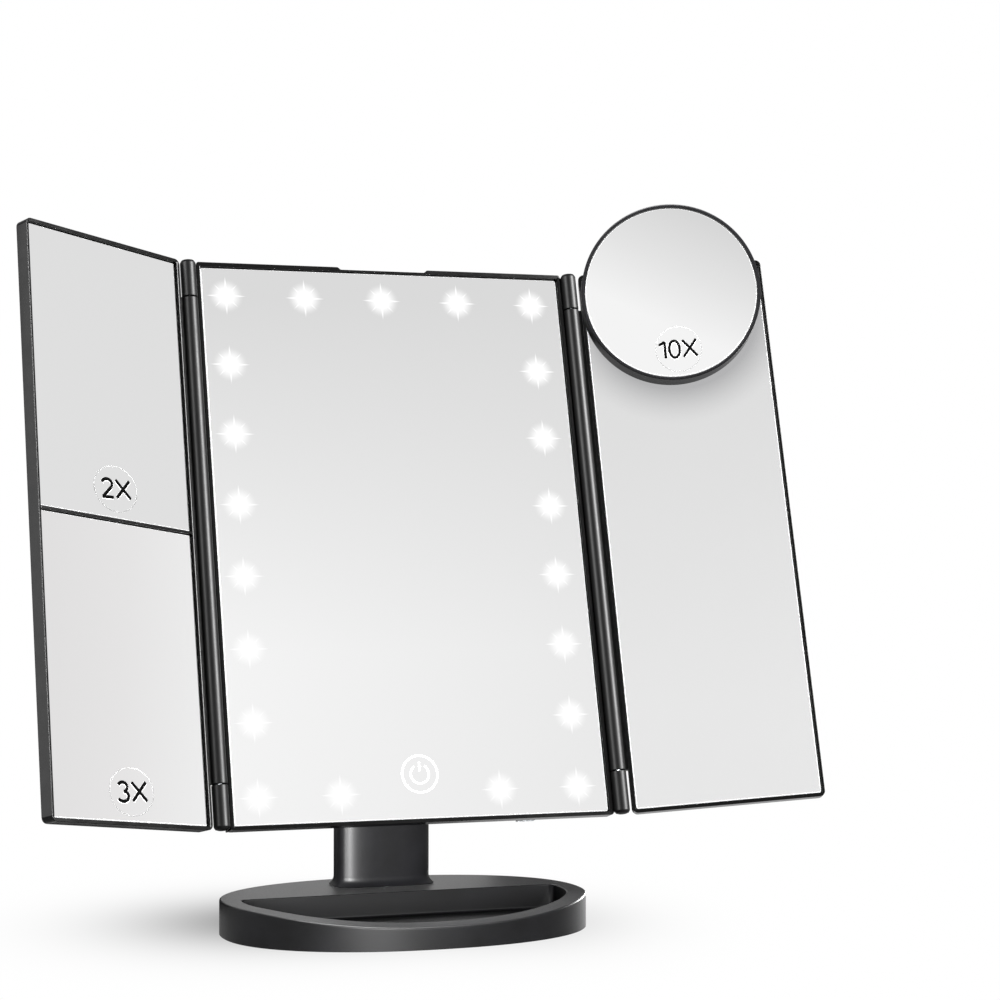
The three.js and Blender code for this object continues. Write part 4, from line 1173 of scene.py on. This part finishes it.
@dataclass
class Glass:
    """One flat pane with a ground bevel round its face."""

    node: str
    low: Pair
    high: Pair
    front: float
    thickness: float = 2.5
    bevel: float = 0.36
    back_bevel: float = 0.2
    corner: float = 0.8
    bevel_slopes: Pair = (-0.95, -0.3)

    def ring(self, inset: float, y: float) -> Ring:
        """The pane's outline drawn in by inset, at one depth."""
        (x0, z0), (x1, z1) = self.low, self.high
        radius = max(0.15, self.corner - inset)
        return at_depth(panel_outline(x0 + inset, x1 - inset, z0 + inset, z1 - inset, radius, 4), y)

    def build(self, body: str, finish: Finish, place: Matrix) -> None:
        """Model and dress the pane."""
        back = self.front + self.thickness
        rings = [
            self.ring(self.back_bevel, back),
            self.ring(0.0, back - self.back_bevel),
            self.ring(0.0, self.front + self.bevel),
            self.ring(self.bevel, self.front),
        ]
        obj = drawn_rings(f"{self.node}_pane", rings)
        obj.data.materials.append(finish.material())
        # The bevel takes the ground edge finish, whose white glow is a painted highlight.
        obj.data.materials.append(EDGE.material())
        low, high = self.bevel_slopes
        for face in obj.data.polygons:
            face.material_index = 1 if low < face.normal.y < high else 0
        dress(obj, body, finish, place, [self.node])


def barrel(low: float, high: float, bores: Tuple[bool, bool], dome: int = 0) -> Object:
    """Hinge barrel on its own axis.

    Args:
        low: Its lower end.
        high: Its upper end.
        bores: Whether the lower and the upper end have a pin bore.
        dome: 1 or -1 where the upper or the lower end is domed.

    Returns:
        The new mesh object.
    """
    radius, bore, depth, edge, drop, shoulder = BARREL_RADIUS, 1.5, 8.4, 0.35, 1.2, 0.9

    def end(at: float, inwards: int, bored: bool) -> List[Sequence[float]]:
        """Profile of one end, from the axis out."""
        points: List[Sequence[float]] = [(0.0, at)]
        if bored:
            floor = at + inwards * depth
            points = [(0.0, floor), (bore, floor), (bore, at)]
        if dome != -inwards:
            return points + [(radius, at, edge)]
        for out, sunk in ((0.45, 0.02), (0.82, drop * 0.35)):
            points.append((radius * out, at + inwards * sunk))
        return points + [(radius, at + inwards * drop * 1.15, shoulder)]

    profile = end(low, 1, bores[0]) + end(high, -1, bores[1])[::-1]
    return turned("tube", rounded(profile, 3), "Z", 48)


@dataclass
class Bezel:
    """Front frame of the centre mirror with its finger notch and end knuckles."""

    half_width: float = 81.7
    top: float = 119.6
    bottom: float = -119.3
    corner: float = 1.0
    opening: Pair = (80.1, 117.8)
    front: float = -1.2
    back: float = 5.0
    edge: float = 0.06
    inner_edge: float = 0.3
    back_edge: float = 0.25
    notch_half: float = 20.0
    notch_depth: float = 1.1
    notch_slope: float = 1.2
    notch_steps: int = 8
    top_seam: float = 103.4
    bottom_seam: float = -101.3
    flange_depths: Pair = (-1.0, 2.6)
    lip_depths: Pair = (2.1, 3.3)
    flange_edge: float = 0.3
    lip_edge: float = 0.2

    def outline(self, x: float, top: float, bottom: float, radius: float, notch: float) -> Outline:
        """Rounded outline with the notch's points in its top edge."""
        points = panel_outline(-x, x, bottom, top, radius)
        half = len(points) // 2
        dips: Outline = []
        for share in (k / self.notch_steps for k in range(self.notch_steps + 1)):
            across = self.notch_half + 0.3 - (self.notch_slope + 0.6) * share
            dips.append((across, top - notch * (share * share * (3 - 2 * share))))
        return points[:half] + dips + [(-a, b) for a, b in reversed(dips)] + points[half:]

    def outer(self, inset: float, y: float) -> Ring:
        """Outside of the band drawn in by inset, at one depth."""
        x, top, bottom = self.half_width - inset, self.top - inset, self.bottom + inset
        radius = max(0.3, self.corner - inset)
        return at_depth(self.outline(x, top, bottom, radius, self.notch_depth), y)

    def inner(self, grow: float, y: float) -> Ring:
        """Opening of the band grown outwards, less above and below than at the sides."""
        x, z = self.opening[0] + grow, self.opening[1] + grow * 0.4
        return at_depth(self.outline(x, z, -z, 0.3, 0.0), y)

    def band(self) -> Object:
        """The band round the glass."""
        rings = [
            self.inner(0.0, self.back),
            self.outer(self.back_edge, self.back),
            self.outer(0.0, self.back - self.back_edge),
        ]
        rings += [self.outer(a, self.front + b) for a, b in quarter(self.edge, 4)]
        rings += [self.inner(b, self.front + a) for a, b in quarter(self.inner_edge, 2)]
        rings.append(self.inner(0.0, self.back))
        return drawn_rings("band", rings, caps=(False, False))

    def knuckle(self, side: int, up: bool) -> List[Object]:
        """End barrel and the flange that carries it."""
        low, high = (self.top_seam, self.top + 0.3) if up else (self.bottom, self.bottom_seam)
        tube = barrel(low, high, (up, not up), 1 if up else -1)
        tube.data.transform(move(side * HINGE_X, BARREL_Y, 0))
        z0, z1 = (low, high - 1.5) if up else (low + 1.2, high)
        x0, x1 = side * (self.half_width - 1), side * (HINGE_X - 2.0)
        y0, y1 = self.flange_depths
        return [tube, block("flange", (x0, y0, z0), (x1, y1, z1), self.flange_edge)]

    def build(self) -> None:
        """Model the frame with its knuckles and dress it."""
        parts = [self.band()]
        for side in (-1, 1):
            parts += self.knuckle(side, True) + self.knuckle(side, False)
            x0, x1 = side * (self.half_width - 1), side * (HINGE_X - 1.2)
            y0, y1 = self.lip_depths
            low, high = (x0, y0, self.bottom_seam - 1), (x1, y1, self.top_seam + 1)
            parts.append(block("lip", low, high, self.lip_edge))
        dress(join(parts, "front_frame_moulding"), "head", GLOSS, HEAD, ["front_frame"], 38)


@dataclass
class TouchMark:
    """Standby symbol lit behind the glass: a ring, an open arc and a bar."""

    x: float = -1.4
    z: float = -99.3
    ring: Pair = (7.2, 7.9)
    arc: Pair = (3.55, 4.25)
    gap_degrees: float = 34.0
    bar: Triple = (0.36, 1.2, 5.0)
    front: float = -0.14
    back: float = -0.04
    steps: int = 72

    def hoop(self, name: str, radii: Pair, half_gap: float) -> Object:
        """Flat ring, or an arc with a gap at its top."""
        start = turn(-90 - half_gap, "Y")
        low, high = radii
        section = [(low, self.front), (high, self.front), (high, self.back), (low, self.back)]
        obj = added(name, bpy.ops.mesh.primitive_plane_add, size=1)
        with editing(obj):
            mesh = edit_mesh(obj)
            corners = [corner.vert for corner in next(iter(mesh.faces)).loops]
            for vertex, (radius, y) in zip(corners, section):
                vertex.co = start @ Vector((radius, y, 0))
            bmesh.update_edit_mesh(obj.data)
            sweep = math.tau - math.radians(2 * half_gap)
            bpy.ops.mesh.spin(steps=self.steps, angle=sweep, center=(0, 0, 0), axis=(0, 1, 0))
            tidy_normals()
        return obj

    def build(self) -> None:
        """Model and dress the mark."""
        half, low, high = self.bar
        parts = [
            self.hoop("ring", self.ring, 0.0),
            self.hoop("arc", self.arc, self.gap_degrees),
            block("bar", (-half, self.front, low), (half, self.back, high), 0.04, 1),
        ]
        mark = join(parts, "touch_mark")
        mark.data.transform(move(self.x, 0, self.z))
        dress(mark, "head", GLOW, HEAD)


@dataclass
class Wing:
    """Side mirror: its frame, hinge barrel and panes."""

    side: int
    body: str
    place: Matrix
    divider: Optional[float] = None
    divider_half: float = 0.6
    inner_edge: float = 4.4
    outer_edge: float = 85.3
    half_height: float = 119.3
    corner: float = 2.4
    front: float = 0.3
    back: float = 7.0
    glass: Pair = (6.2, 83.8)
    glass_half: float = 117.5
    glass_front: float = 1.5
    fit: float = 0.3
    edge: float = 0.2
    inside_edge: float = 0.25
    back_edge: float = 0.8
    floor: float = 4.35
    barrel_ends: Pair = (-101.0, 103.1)
    bridge_start: float = 2.0
    bridge_depths: Pair = (0.6, 4.2)
    bridge_edge: float = 0.3
    divider_edge: float = 0.2
    opening_corner: float = 0.35

    def outline(self, inset: float, radius: float, y: float) -> Ring:
        """Outside of the frame drawn in by inset, at one depth."""
        x0, x1 = self.side * (self.inner_edge + inset), self.side * (self.outer_edge - inset)
        z = self.half_height - inset
        return at_depth(panel_outline(x0, x1, -z, z, radius), y)

    def opening(self, grow: float, y: float) -> Ring:
        """Opening for the glass grown outwards, at one depth."""
        room = self.fit + grow
        x0, x1 = self.side * (self.glass[0] - room), self.side * (self.glass[1] + room)
        z = self.glass_half + room
        return at_depth(panel_outline(x0, x1, -z, z, self.opening_corner), y)

    def shell(self) -> Object:
        """Frame with rounded edges, closed behind, and its hinge barrel on a bridge."""
        front, back, corner = self.front, self.back, self.corner
        rings = [
            self.outline(b, corner - b * 0.6, back - a) for a, b in quarter(self.back_edge, 3)
        ]
        rings += [self.outline(a, corner - a, front + b) for a, b in quarter(self.edge, 4)]
        rings += [self.opening(b, front + a) for a, b in quarter(self.inside_edge, 2)]
        rings.append(self.opening(0.0, self.floor))
        low, high = self.barrel_ends
        x0, x1 = self.side * self.bridge_start, self.side * (self.inner_edge + 1)
        y0, y1 = self.bridge_depths
        parts = [
            drawn_rings("tray", rings),
            barrel(low, high, (True, True)),
            block("bridge", (x0, y0, low), (x1, y1, high), self.bridge_edge),
        ]
        if self.divider is not None:
            x0, x1 = self.side * (self.glass[0] - self.fit), self.side * (self.glass[1] + self.fit)
            z0, z1 = self.divider - self.divider_half, self.divider + self.divider_half
            low, high = (x0, front + 0.05, z0), (x1, self.floor + 0.3, z1)
            parts.append(block("bar", low, high, self.divider_edge))
        return join(parts, f"{self.body}_moulding")

    def build(self, panes: Sequence[Tuple[str, float, float, Finish]]) -> None:
        """Model and dress the wing with its panes, given as (node, low z, high z, finish)."""
        dress(self.shell(), self.body, GLOSS, self.place, [f"{self.body}_shell"], 38)
        x0, x1 = sorted(self.side * x for x in self.glass)
        for node, z0, z1, finish in panes:
            pane = Glass(node, (x0, z0), (x1, z1), self.glass_front)
            pane.build(self.body, finish, self.place)


# Width of each figure and the middle lines of its strokes, in units of the figure's height.
GLYPHS = {
    "0": (0.56, [arc((0.28, 0.5), (0.21, 0.5), 0, 360, 28)]),
    "1": (0.44, [[(0.10, 0.80), (0.34, 0.98)], [(0.34, 1.0), (0.34, 0.0)]]),
    "2": (
        0.56,
        [arc((0.27, 0.73), (0.20, 0.27), 165, -35) + [(0.07, 0.0)], [(0.04, 0.0), (0.50, 0.0)]],
    ),
    "3": (
        0.56,
        [arc((0.26, 0.75), (0.18, 0.25), 155, -80), arc((0.26, 0.27), (0.21, 0.27), 80, -155)],
    ),
    "X": (0.66, [[(0.06, 0.0), (0.62, 1.0)], [(0.06, 1.0), (0.62, 0.0)]]),
}


@dataclass
class Label:
    """Stick-on clear disc with printed figures."""

    node: str
    body: str
    place: str
    figures: str
    centre: Triple
    half: Pair
    figure_height: float
    figure_width: float
    stroke: float
    tilt: float
    shift: float
    thickness: float = 0.3
    edge: float = 0.08
    halo: float = 0.15
    halo_lift: float = 0.05
    ink_lift: float = 0.1
    ink_half_depth: float = 0.02

    def build(self) -> None:
        """Model the disc and its figures and dress them."""
        half_x, half_z = self.half
        top, edge = self.thickness, self.edge
        rim = [(1.0, top), (1.0, edge), (1.0 - edge / half_z, 0.0)]
        disc = turned(f"{self.node}_film", [(0.0, top), *rim, (0.0, 0.0)], steps=72)
        disc.data.transform(move(*self.centre) @ Matrix.Diagonal((half_x, 1, half_z, 1)))
        film = ClearFilm(
            f"clear_film_{self.node}", "clear_film", self.place, self.centre, self.half
        )
        dress(disc, self.body, film, PLACES[self.place], [self.node], 32).visible_glossy = False
        self.printed(f"{self.node}_halo", HALO_INK, self.stroke + self.halo, self.halo_lift)
        self.printed(f"{self.node}_figures", INK, self.stroke, self.ink_lift)

    def printed(self, name: str, finish: Finish, half: float, proud: float) -> None:
        """Figures as a thin printed layer on the film, drawn as strokes.

        Args:
            name: The layer's name.
            finish: Its ink.
            half: Half the width of its strokes.
            proud: How far it stands off the film's face.
        """
        curve = bpy.data.curves.new(name, "CURVE")
        curve.dimensions = "3D"
        curve.bevel_depth = half
        curve.bevel_resolution = 2
        curve.use_fill_caps = True
        scale = self.figure_width / sum(GLYPHS[figure][0] for figure in self.figures)
        rise = self.figure_height - 2 * self.stroke
        left = self.shift - self.figure_width / 2
        for width, strokes in (GLYPHS[figure] for figure in self.figures):
            for stroke in strokes:
                spline = curve.splines.new("POLY")
                spline.points.add(len(stroke) - 1)
                for point, (across, up) in zip(spline.points, stroke):
                    point.co = (left + across * scale, 0.0, (up - 0.5) * rise, 1.0)
            left += width * scale
        obj = bpy.data.objects.new(name, curve)
        bpy.context.scene.collection.objects.link(obj)
        select_only(obj)
        bpy.ops.object.convert(target="MESH")
        obj = bpy.context.active_object
        x, front, z = self.centre
        thin = Matrix.Diagonal((1, self.ink_half_depth / half, 1, 1))
        obj.data.transform(move(x, front - proud, z) @ turn(-self.tilt, "Y") @ thin)
        dress(obj, self.body, finish, PLACES[self.place]).visible_glossy = False


@dataclass
class Magnifier:
    """Round magnifying mirror, its housing and its suction cup."""

    radius: float = 38.8
    back_radius: float = 38.9
    back: float = -0.3
    depth: float = 13.0
    rim: float = 1.4
    recess: float = 0.6
    glass_thickness: float = 2.5
    glass_hollow: float = 1.1
    glass_bevel: float = 0.32
    glass_edge: float = 0.7
    fit: float = 0.3
    ledge: float = 3.5
    wall: float = 2.0
    stem_hole: float = 3.9
    cup_radius: float = 13.8
    cup_height: float = 7.0

    def housing(self) -> Object:
        """Shallow round housing with rounded lips."""
        back, front = self.back, self.back - self.depth
        pocket = front + self.recess + self.glass_thickness + self.fit
        inner, inside = self.radius - self.rim, back - self.wall
        profile = [
            (self.stem_hole, inside),
            (self.back_radius - self.wall - 1.5, inside, 1.0),
            (inner - self.ledge, pocket),
            (inner, pocket),
            (inner, front, 0.3),
            (self.radius, front, 0.5),
            (self.back_radius, back, 0.9),
            (self.stem_hole, back, 0.4),
            (self.stem_hole, inside),
        ]
        return turned("spot_housing_moulding", rounded(profile), steps=144)

    def mirror(self, finish: Finish) -> Object:
        """Hollow-ground glass with a ground edge that glows as a painted highlight."""
        front = self.back - self.depth + self.recess
        back = front + self.glass_thickness
        radius = self.radius - self.rim - self.fit
        face_radius = radius - self.glass_bevel
        profile = [(0.0, back), (radius, back), (radius, front + self.glass_edge)]
        for share in (k / 10 for k in range(10, -1, -1)):
            sink = 0.2 + self.glass_hollow * (1 - share**2)
            profile.append((face_radius * share, front + sink))
        obj = turned("spot_mirror_glass", profile, steps=144)
        obj.data.materials.append(finish.material())
        obj.data.materials.append(EDGE.material())
        for face in obj.data.polygons:
            far = math.hypot(face.center.x, face.center.z)
            face.material_index = 1 if far > face_radius and face.normal.y < 0.5 else 0
        return obj

    def cup(self) -> Object:
        """Soft cup with its lip, and the stem whose head snaps into the housing."""
        r, lip = self.cup_radius, self.cup_height - 0.3
        profile = [
            (0.0, 0.2),
            (3.6, 0.2, 0.5),
            (4.6, 1.0, 0.5),
            (r * 0.62, self.cup_height * 0.45, 4.0),
            (r * 0.9, lip - 1.4, 1.0),
            (r, lip - 0.6, 0.3),
            (r, lip),
            (r * 0.82, lip, 0.4),
            (r * 0.5, lip - 1.6, 2.0),
            (0.0, lip - 2.2),
        ]
        cup = turned("suction_cup_soft", rounded(profile), steps=72)
        inside = self.back - self.wall - self.fit
        head = [(0.0, inside - 1.5), (5.6, inside - 1.5, 0.4), (6.0, inside, 0.2)]
        shaft = [(3.4, inside), (3.4, 1.0), (0.0, 1.0)]
        stem = turned("stem", rounded(head + shaft), steps=48)
        stem.data.transform(turn(CUP_HANG, "X"))
        return join([cup, stem], "suction_cup_soft")

    def build(self) -> None:
        """Model and dress the magnifier. The photograph's mirrors were retouched clean of it."""
        glass = SilveredGlass("silvered_round", "silvered_glass", "spot", Shade.ROUND, 0.06)
        for obj, finish, place, node, smooth in (
            (self.housing(), RIM_SATIN, SPOT, "spot_housing", 32),
            (self.mirror(glass), glass, SPOT, "spot_mirror", 30),
            (self.cup(), RUBBER, CUP, "suction_cup", 40),
        ):
            dress(obj, "magnifier", finish, place, [node], smooth).visible_glossy = False


@dataclass
class Rear:
    """Rear shell with tilt ears and battery bay, and its door."""

    shell_edge: float = 0.5
    door_edge: float = 0.35

    def build(self) -> None:
        """Refine copies of the CAD mouldings and dress them."""
        for node, body, edge in (
            ("back_shell", "head", self.shell_edge),
            ("battery_door", "bay_door", self.door_edge),
        ):
            obj = refined_copy(node, f"{node}_moulding", HEAD, edge)
            dress(obj, body, SATIN, HEAD, [node], 35)


# CAD nodes whose shape is right, by the finish that they get.
CARRIED_OVER: Tuple[Tuple[Finish, Sequence[str]], ...] = (
    (STRIP, ["led_strip"]),
    (BOARD, ["touch_board", "main_board"]),
    (STEEL, ["usb_socket", "switch_body", "tilt_pin", "tilt_nut"]),
    (STEEL, [f"{s}_hinge_pin_{e}" for s in ("left", "right") for e in ("top", "bottom")]),
    (STEEL, [f"shell_screw_{i}" for i in (1, 2, 3, 4)]),
    (STEEL, ["neck_screw_1", "neck_screw_2", "neck_foot_screw_1", "neck_foot_screw_2"]),
    (STEEL, [f"base_cover_screw_{i}" for i in (1, 2, 3)]),
    (BRASS, ["tilt_washer_left", "tilt_washer_right"]),
    (BRASS, ["contact_lower_left", "contact_lower_right"]),
    (BRASS, ["contact_upper_left", "contact_upper_middle", "contact_upper_right"]),
    (SLEEVE, [f"battery_{i}" for i in (1, 2, 3, 4)]),
    (GLOSS, ["switch_knob"]),
)


@dataclass(frozen=True)
class Lamp:
    """Soft box aimed at the object's middle, which lights one group of pieces.

    The azimuth is in degrees from the front, positive towards the object's right side. The rise
    is in degrees above level, distance and size are in metres and the power is in watts.
    """

    name: str
    group: bpy.types.Collection
    azimuth: float
    rise: float
    distance: float
    size: Pair
    power: float

    def build(self) -> None:
        """Set up the lamp, unseen by the camera."""
        data = bpy.data.lights.new(self.name, "AREA")
        data.shape = "RECTANGLE"
        data.size, data.size_y = self.size
        data.energy = self.power
        obj = bpy.data.objects.new(self.name, data)
        azimuth, rise = math.radians(self.azimuth), math.radians(self.rise)
        level = (math.sin(azimuth) * math.cos(rise), -math.cos(azimuth) * math.cos(rise))
        direction = Vector((*level, math.sin(rise))) * self.distance
        obj.location = Vector((0, 0, 0.15)) + direction
        obj.rotation_euler = (-direction).to_track_quat("-Z", "Y").to_euler()
        obj.visible_camera = False
        obj.light_linking.receiver_collection = self.group
        obj.light_linking.blocker_collection = self.group
        bpy.context.scene.collection.objects.link(obj)


LAMPS = (
    Lamp("gloss_key", GLOSSY_PIECES, 50, 26, 1.6, (0.55, 0.85), 500),
    Lamp("gloss_edge", GLOSSY_PIECES, -67, 24, 1.5, (0.6, 0.9), 140),
    Lamp("gloss_side", GLOSSY_PIECES, -106, 15, 1.5, (0.4, 1.0), 8),
    Lamp("satin_key", SATIN_PIECES, -9, 3, 1.3, (0.5, 0.7), 118),
    Lamp("satin_rim", SATIN_PIECES, -172, 42, 1.3, (1.2, 0.4), 14),
    Lamp("satin_top", SATIN_PIECES, -20, 78, 1.2, (0.8, 0.8), 150),
    Lamp("column_key", COLUMN_PIECES, -28, 3, 1.3, (0.3, 0.7), 190),
    Lamp("column_edge", COLUMN_PIECES, -54, 3, 1.3, (0.4, 0.7), 95),
    Lamp("satin_side", SATIN_PIECES, 125, 3, 1.3, (0.5, 0.3), 48),
    Lamp("rim_top", RIM_PIECES, -20, 78, 1.2, (0.8, 0.8), 130),
    Lamp("rim_side", RIM_PIECES, 100, -10, 1.3, (0.5, 0.5), 30),
)


@dataclass
class Studio:
    """Camera, white surroundings, floor, lamps and cards, in metres.

    Each of the floor's swells of shade has its middle, width and darkness across the view.
    """

    eye: Triple = (-0.32315, -0.99827, 0.16479)
    look: Triple = (0.3438, 0.9389, 0.0133)
    lens: float = 90.41
    ambient: float = 0.55
    swells: Tuple[Triple, Triple] = ((-0.0516, 0.0448, 0.70), (0.0483, 0.032, 0.25))
    swell_depth: Pair = (0.024, 0.050)
    card_turn: float = 20.0

    def camera(self) -> None:
        """The camera that the photograph was fitted with."""
        data = bpy.data.cameras.new("camera")
        data.lens = self.lens
        data.sensor_width = 36.0
        obj = bpy.data.objects.new("camera", data)
        obj.location = self.eye
        obj.rotation_euler = Vector(self.look).to_track_quat("-Z", "Y").to_euler()
        bpy.context.scene.collection.objects.link(obj)
        bpy.context.scene.camera = obj

    def seen(self, net: Net) -> Signal:
        """1 for rays that look at the surroundings, directly or in a reflection."""
        rays = net.node("LightPath").outputs
        kinds = ("Is Camera Ray", "Is Glossy Ray", "Is Transmission Ray")
        camera, glossy, through = (Signal(net, rays[kind]) for kind in kinds)
        return net.math("MINIMUM", camera + glossy + through, 1.0)

    def world(self) -> None:
        """White where it is seen, a plain level where it lights."""
        world = bpy.data.worlds.new("studio")
        bpy.context.scene.world = world
        world.use_nodes = True
        net = Net(world.node_tree)
        background = world.node_tree.nodes["Background"].inputs
        net.feed(background["Color"], WHITE)
        level = self.seen(net).spread((0.0, 1.0), (self.ambient, 1.0))
        net.feed(background["Strength"], level)

    def floor(self) -> None:
        """Pale floor with the soft shade that gathers round the base."""
        below = (0, 0, -0.0003)
        obj = added("floor", bpy.ops.mesh.primitive_plane_add, size=8, location=below)
        material = bpy.data.materials.new("pale_floor")
        material.use_nodes = True
        net = Net(material.node_tree)
        net.tree.nodes.clear()
        x, y, _ = net.axes(net.value("TexCoord", "Object"))
        ahead_x, ahead_y, _ = self.look
        across, away = x * ahead_y - y * ahead_x, x * ahead_x + y * ahead_y

        def swell(value: Signal, middle: float, width: float) -> Signal:
            """Bell curve of one coordinate."""
            share = (value - middle) / width
            return net.math("EXPONENT", share * share * -0.5)

        left, right = (swell(across, *where) * dark for *where, dark in self.swells)
        level = 1.0 - (left + right) * swell(away, *self.swell_depth)
        white = net.value("Emission", 0, {"Color": WHITE, "Strength": level})
        lit = net.value("BsdfDiffuse", 0, {"Color": srgb("#e2e2e2")})
        surface = net.value("MixShader", 0, {0: self.seen(net), 1: lit, 2: white})
        net.node("OutputMaterial", {"Surface": surface})
        obj.data.materials.append(material)
        SATIN_PIECES.objects.link(obj)

    def cards(self) -> None:
        """Black cards behind the stand, two upright and one lying, seen only in reflections."""
        material = bpy.data.materials.new("card_cloth")
        material.use_nodes = True
        cloth = material.node_tree.nodes["Principled BSDF"].inputs
        cloth["Base Color"].default_value = srgb("#020202")
        cloth["IOR"].default_value = 1.0
        for name, place, size, pitch in (
            ("left_card", (-0.10, 0.17, 0.075), (0.14, 0.145), 90),
            ("right_card", (0.205, 0.235, 0.075), (0.20, 0.15), 90),
            ("low_card", (0.07, 0.24, 0.001), (0.60, 0.22), 0),
        ):
            obj = added(name, bpy.ops.mesh.primitive_plane_add, size=1)
            facing = turn(self.card_turn, "Z") @ turn(pitch, "X")
            obj.data.transform(move(*place) @ facing @ Matrix.Diagonal((*size, 1, 1)))
            obj.data.materials.append(material)
            for rays in ("camera", "diffuse", "shadow", "transmission"):
                setattr(obj, f"visible_{rays}", False)

    def build(self) -> None:
        """Set up the studio."""
        self.camera()
        self.world()
        self.floor()
        for lamp in LAMPS:
            lamp.build()
        self.cards()
        bpy.context.scene.view_settings.view_transform = "Standard"


def main() -> None:
    """Build every sub-assembly in order."""
    logging.basicConfig(level=logging.INFO, format="%(message)s")
    Studio().build()
    Base().build()
    Neck().build()
    Bezel().build()
    slot, half_x, half_z = "silvered_glass", 79.8, 117.5
    centre = SilveredGlass("silvered_centre", slot, lights=True)
    pane = Glass("main_mirror", (-half_x, -half_z), (half_x, half_z), 0.0)
    pane.build("head", centre, HEAD)
    TouchMark().build()
    upper = SilveredGlass("silvered_upper", slot, "left", Shade.EVEN)
    lower = SilveredGlass("silvered_lower", slot, "left", Shade.CORNER)
    Wing(-1, "left_wing", LEFT_WING, 1.3).build(
        [("left_upper_mirror", 2.2, half_z, upper), ("left_lower_mirror", -half_z, 0.4, lower)]
    )
    right = SilveredGlass("silvered_right", slot, "right", Shade.FALLING, 0.2)
    Wing(1, "right_wing", RIGHT_WING).build([("right_wing_mirror", -half_z, half_z, right)])
    Magnifier().build()
    on_wing = (11.2, 9.4), 8.8, 15.8, 0.72, 3.0, -0.1
    on_spot = (10.0, 10.0), 8.6, 17.8, 0.6, 0.5, -0.65
    Label("upper_label", "left_wing", "left", "2X", (-45.4, 0.9, 14.1), *on_wing).build()
    Label("lower_label", "left_wing", "left", "3X", (-45.2, 0.9, -106.1), *on_wing).build()
    Label("spot_label", "magnifier", "spot", "10X", (0.7, -13.1, -25.4), *on_spot).build()
    Rear().build()
    for finish, nodes in CARRIED_OVER:
        repaint(nodes, finish)


if __name__ == "__main__":
    main()
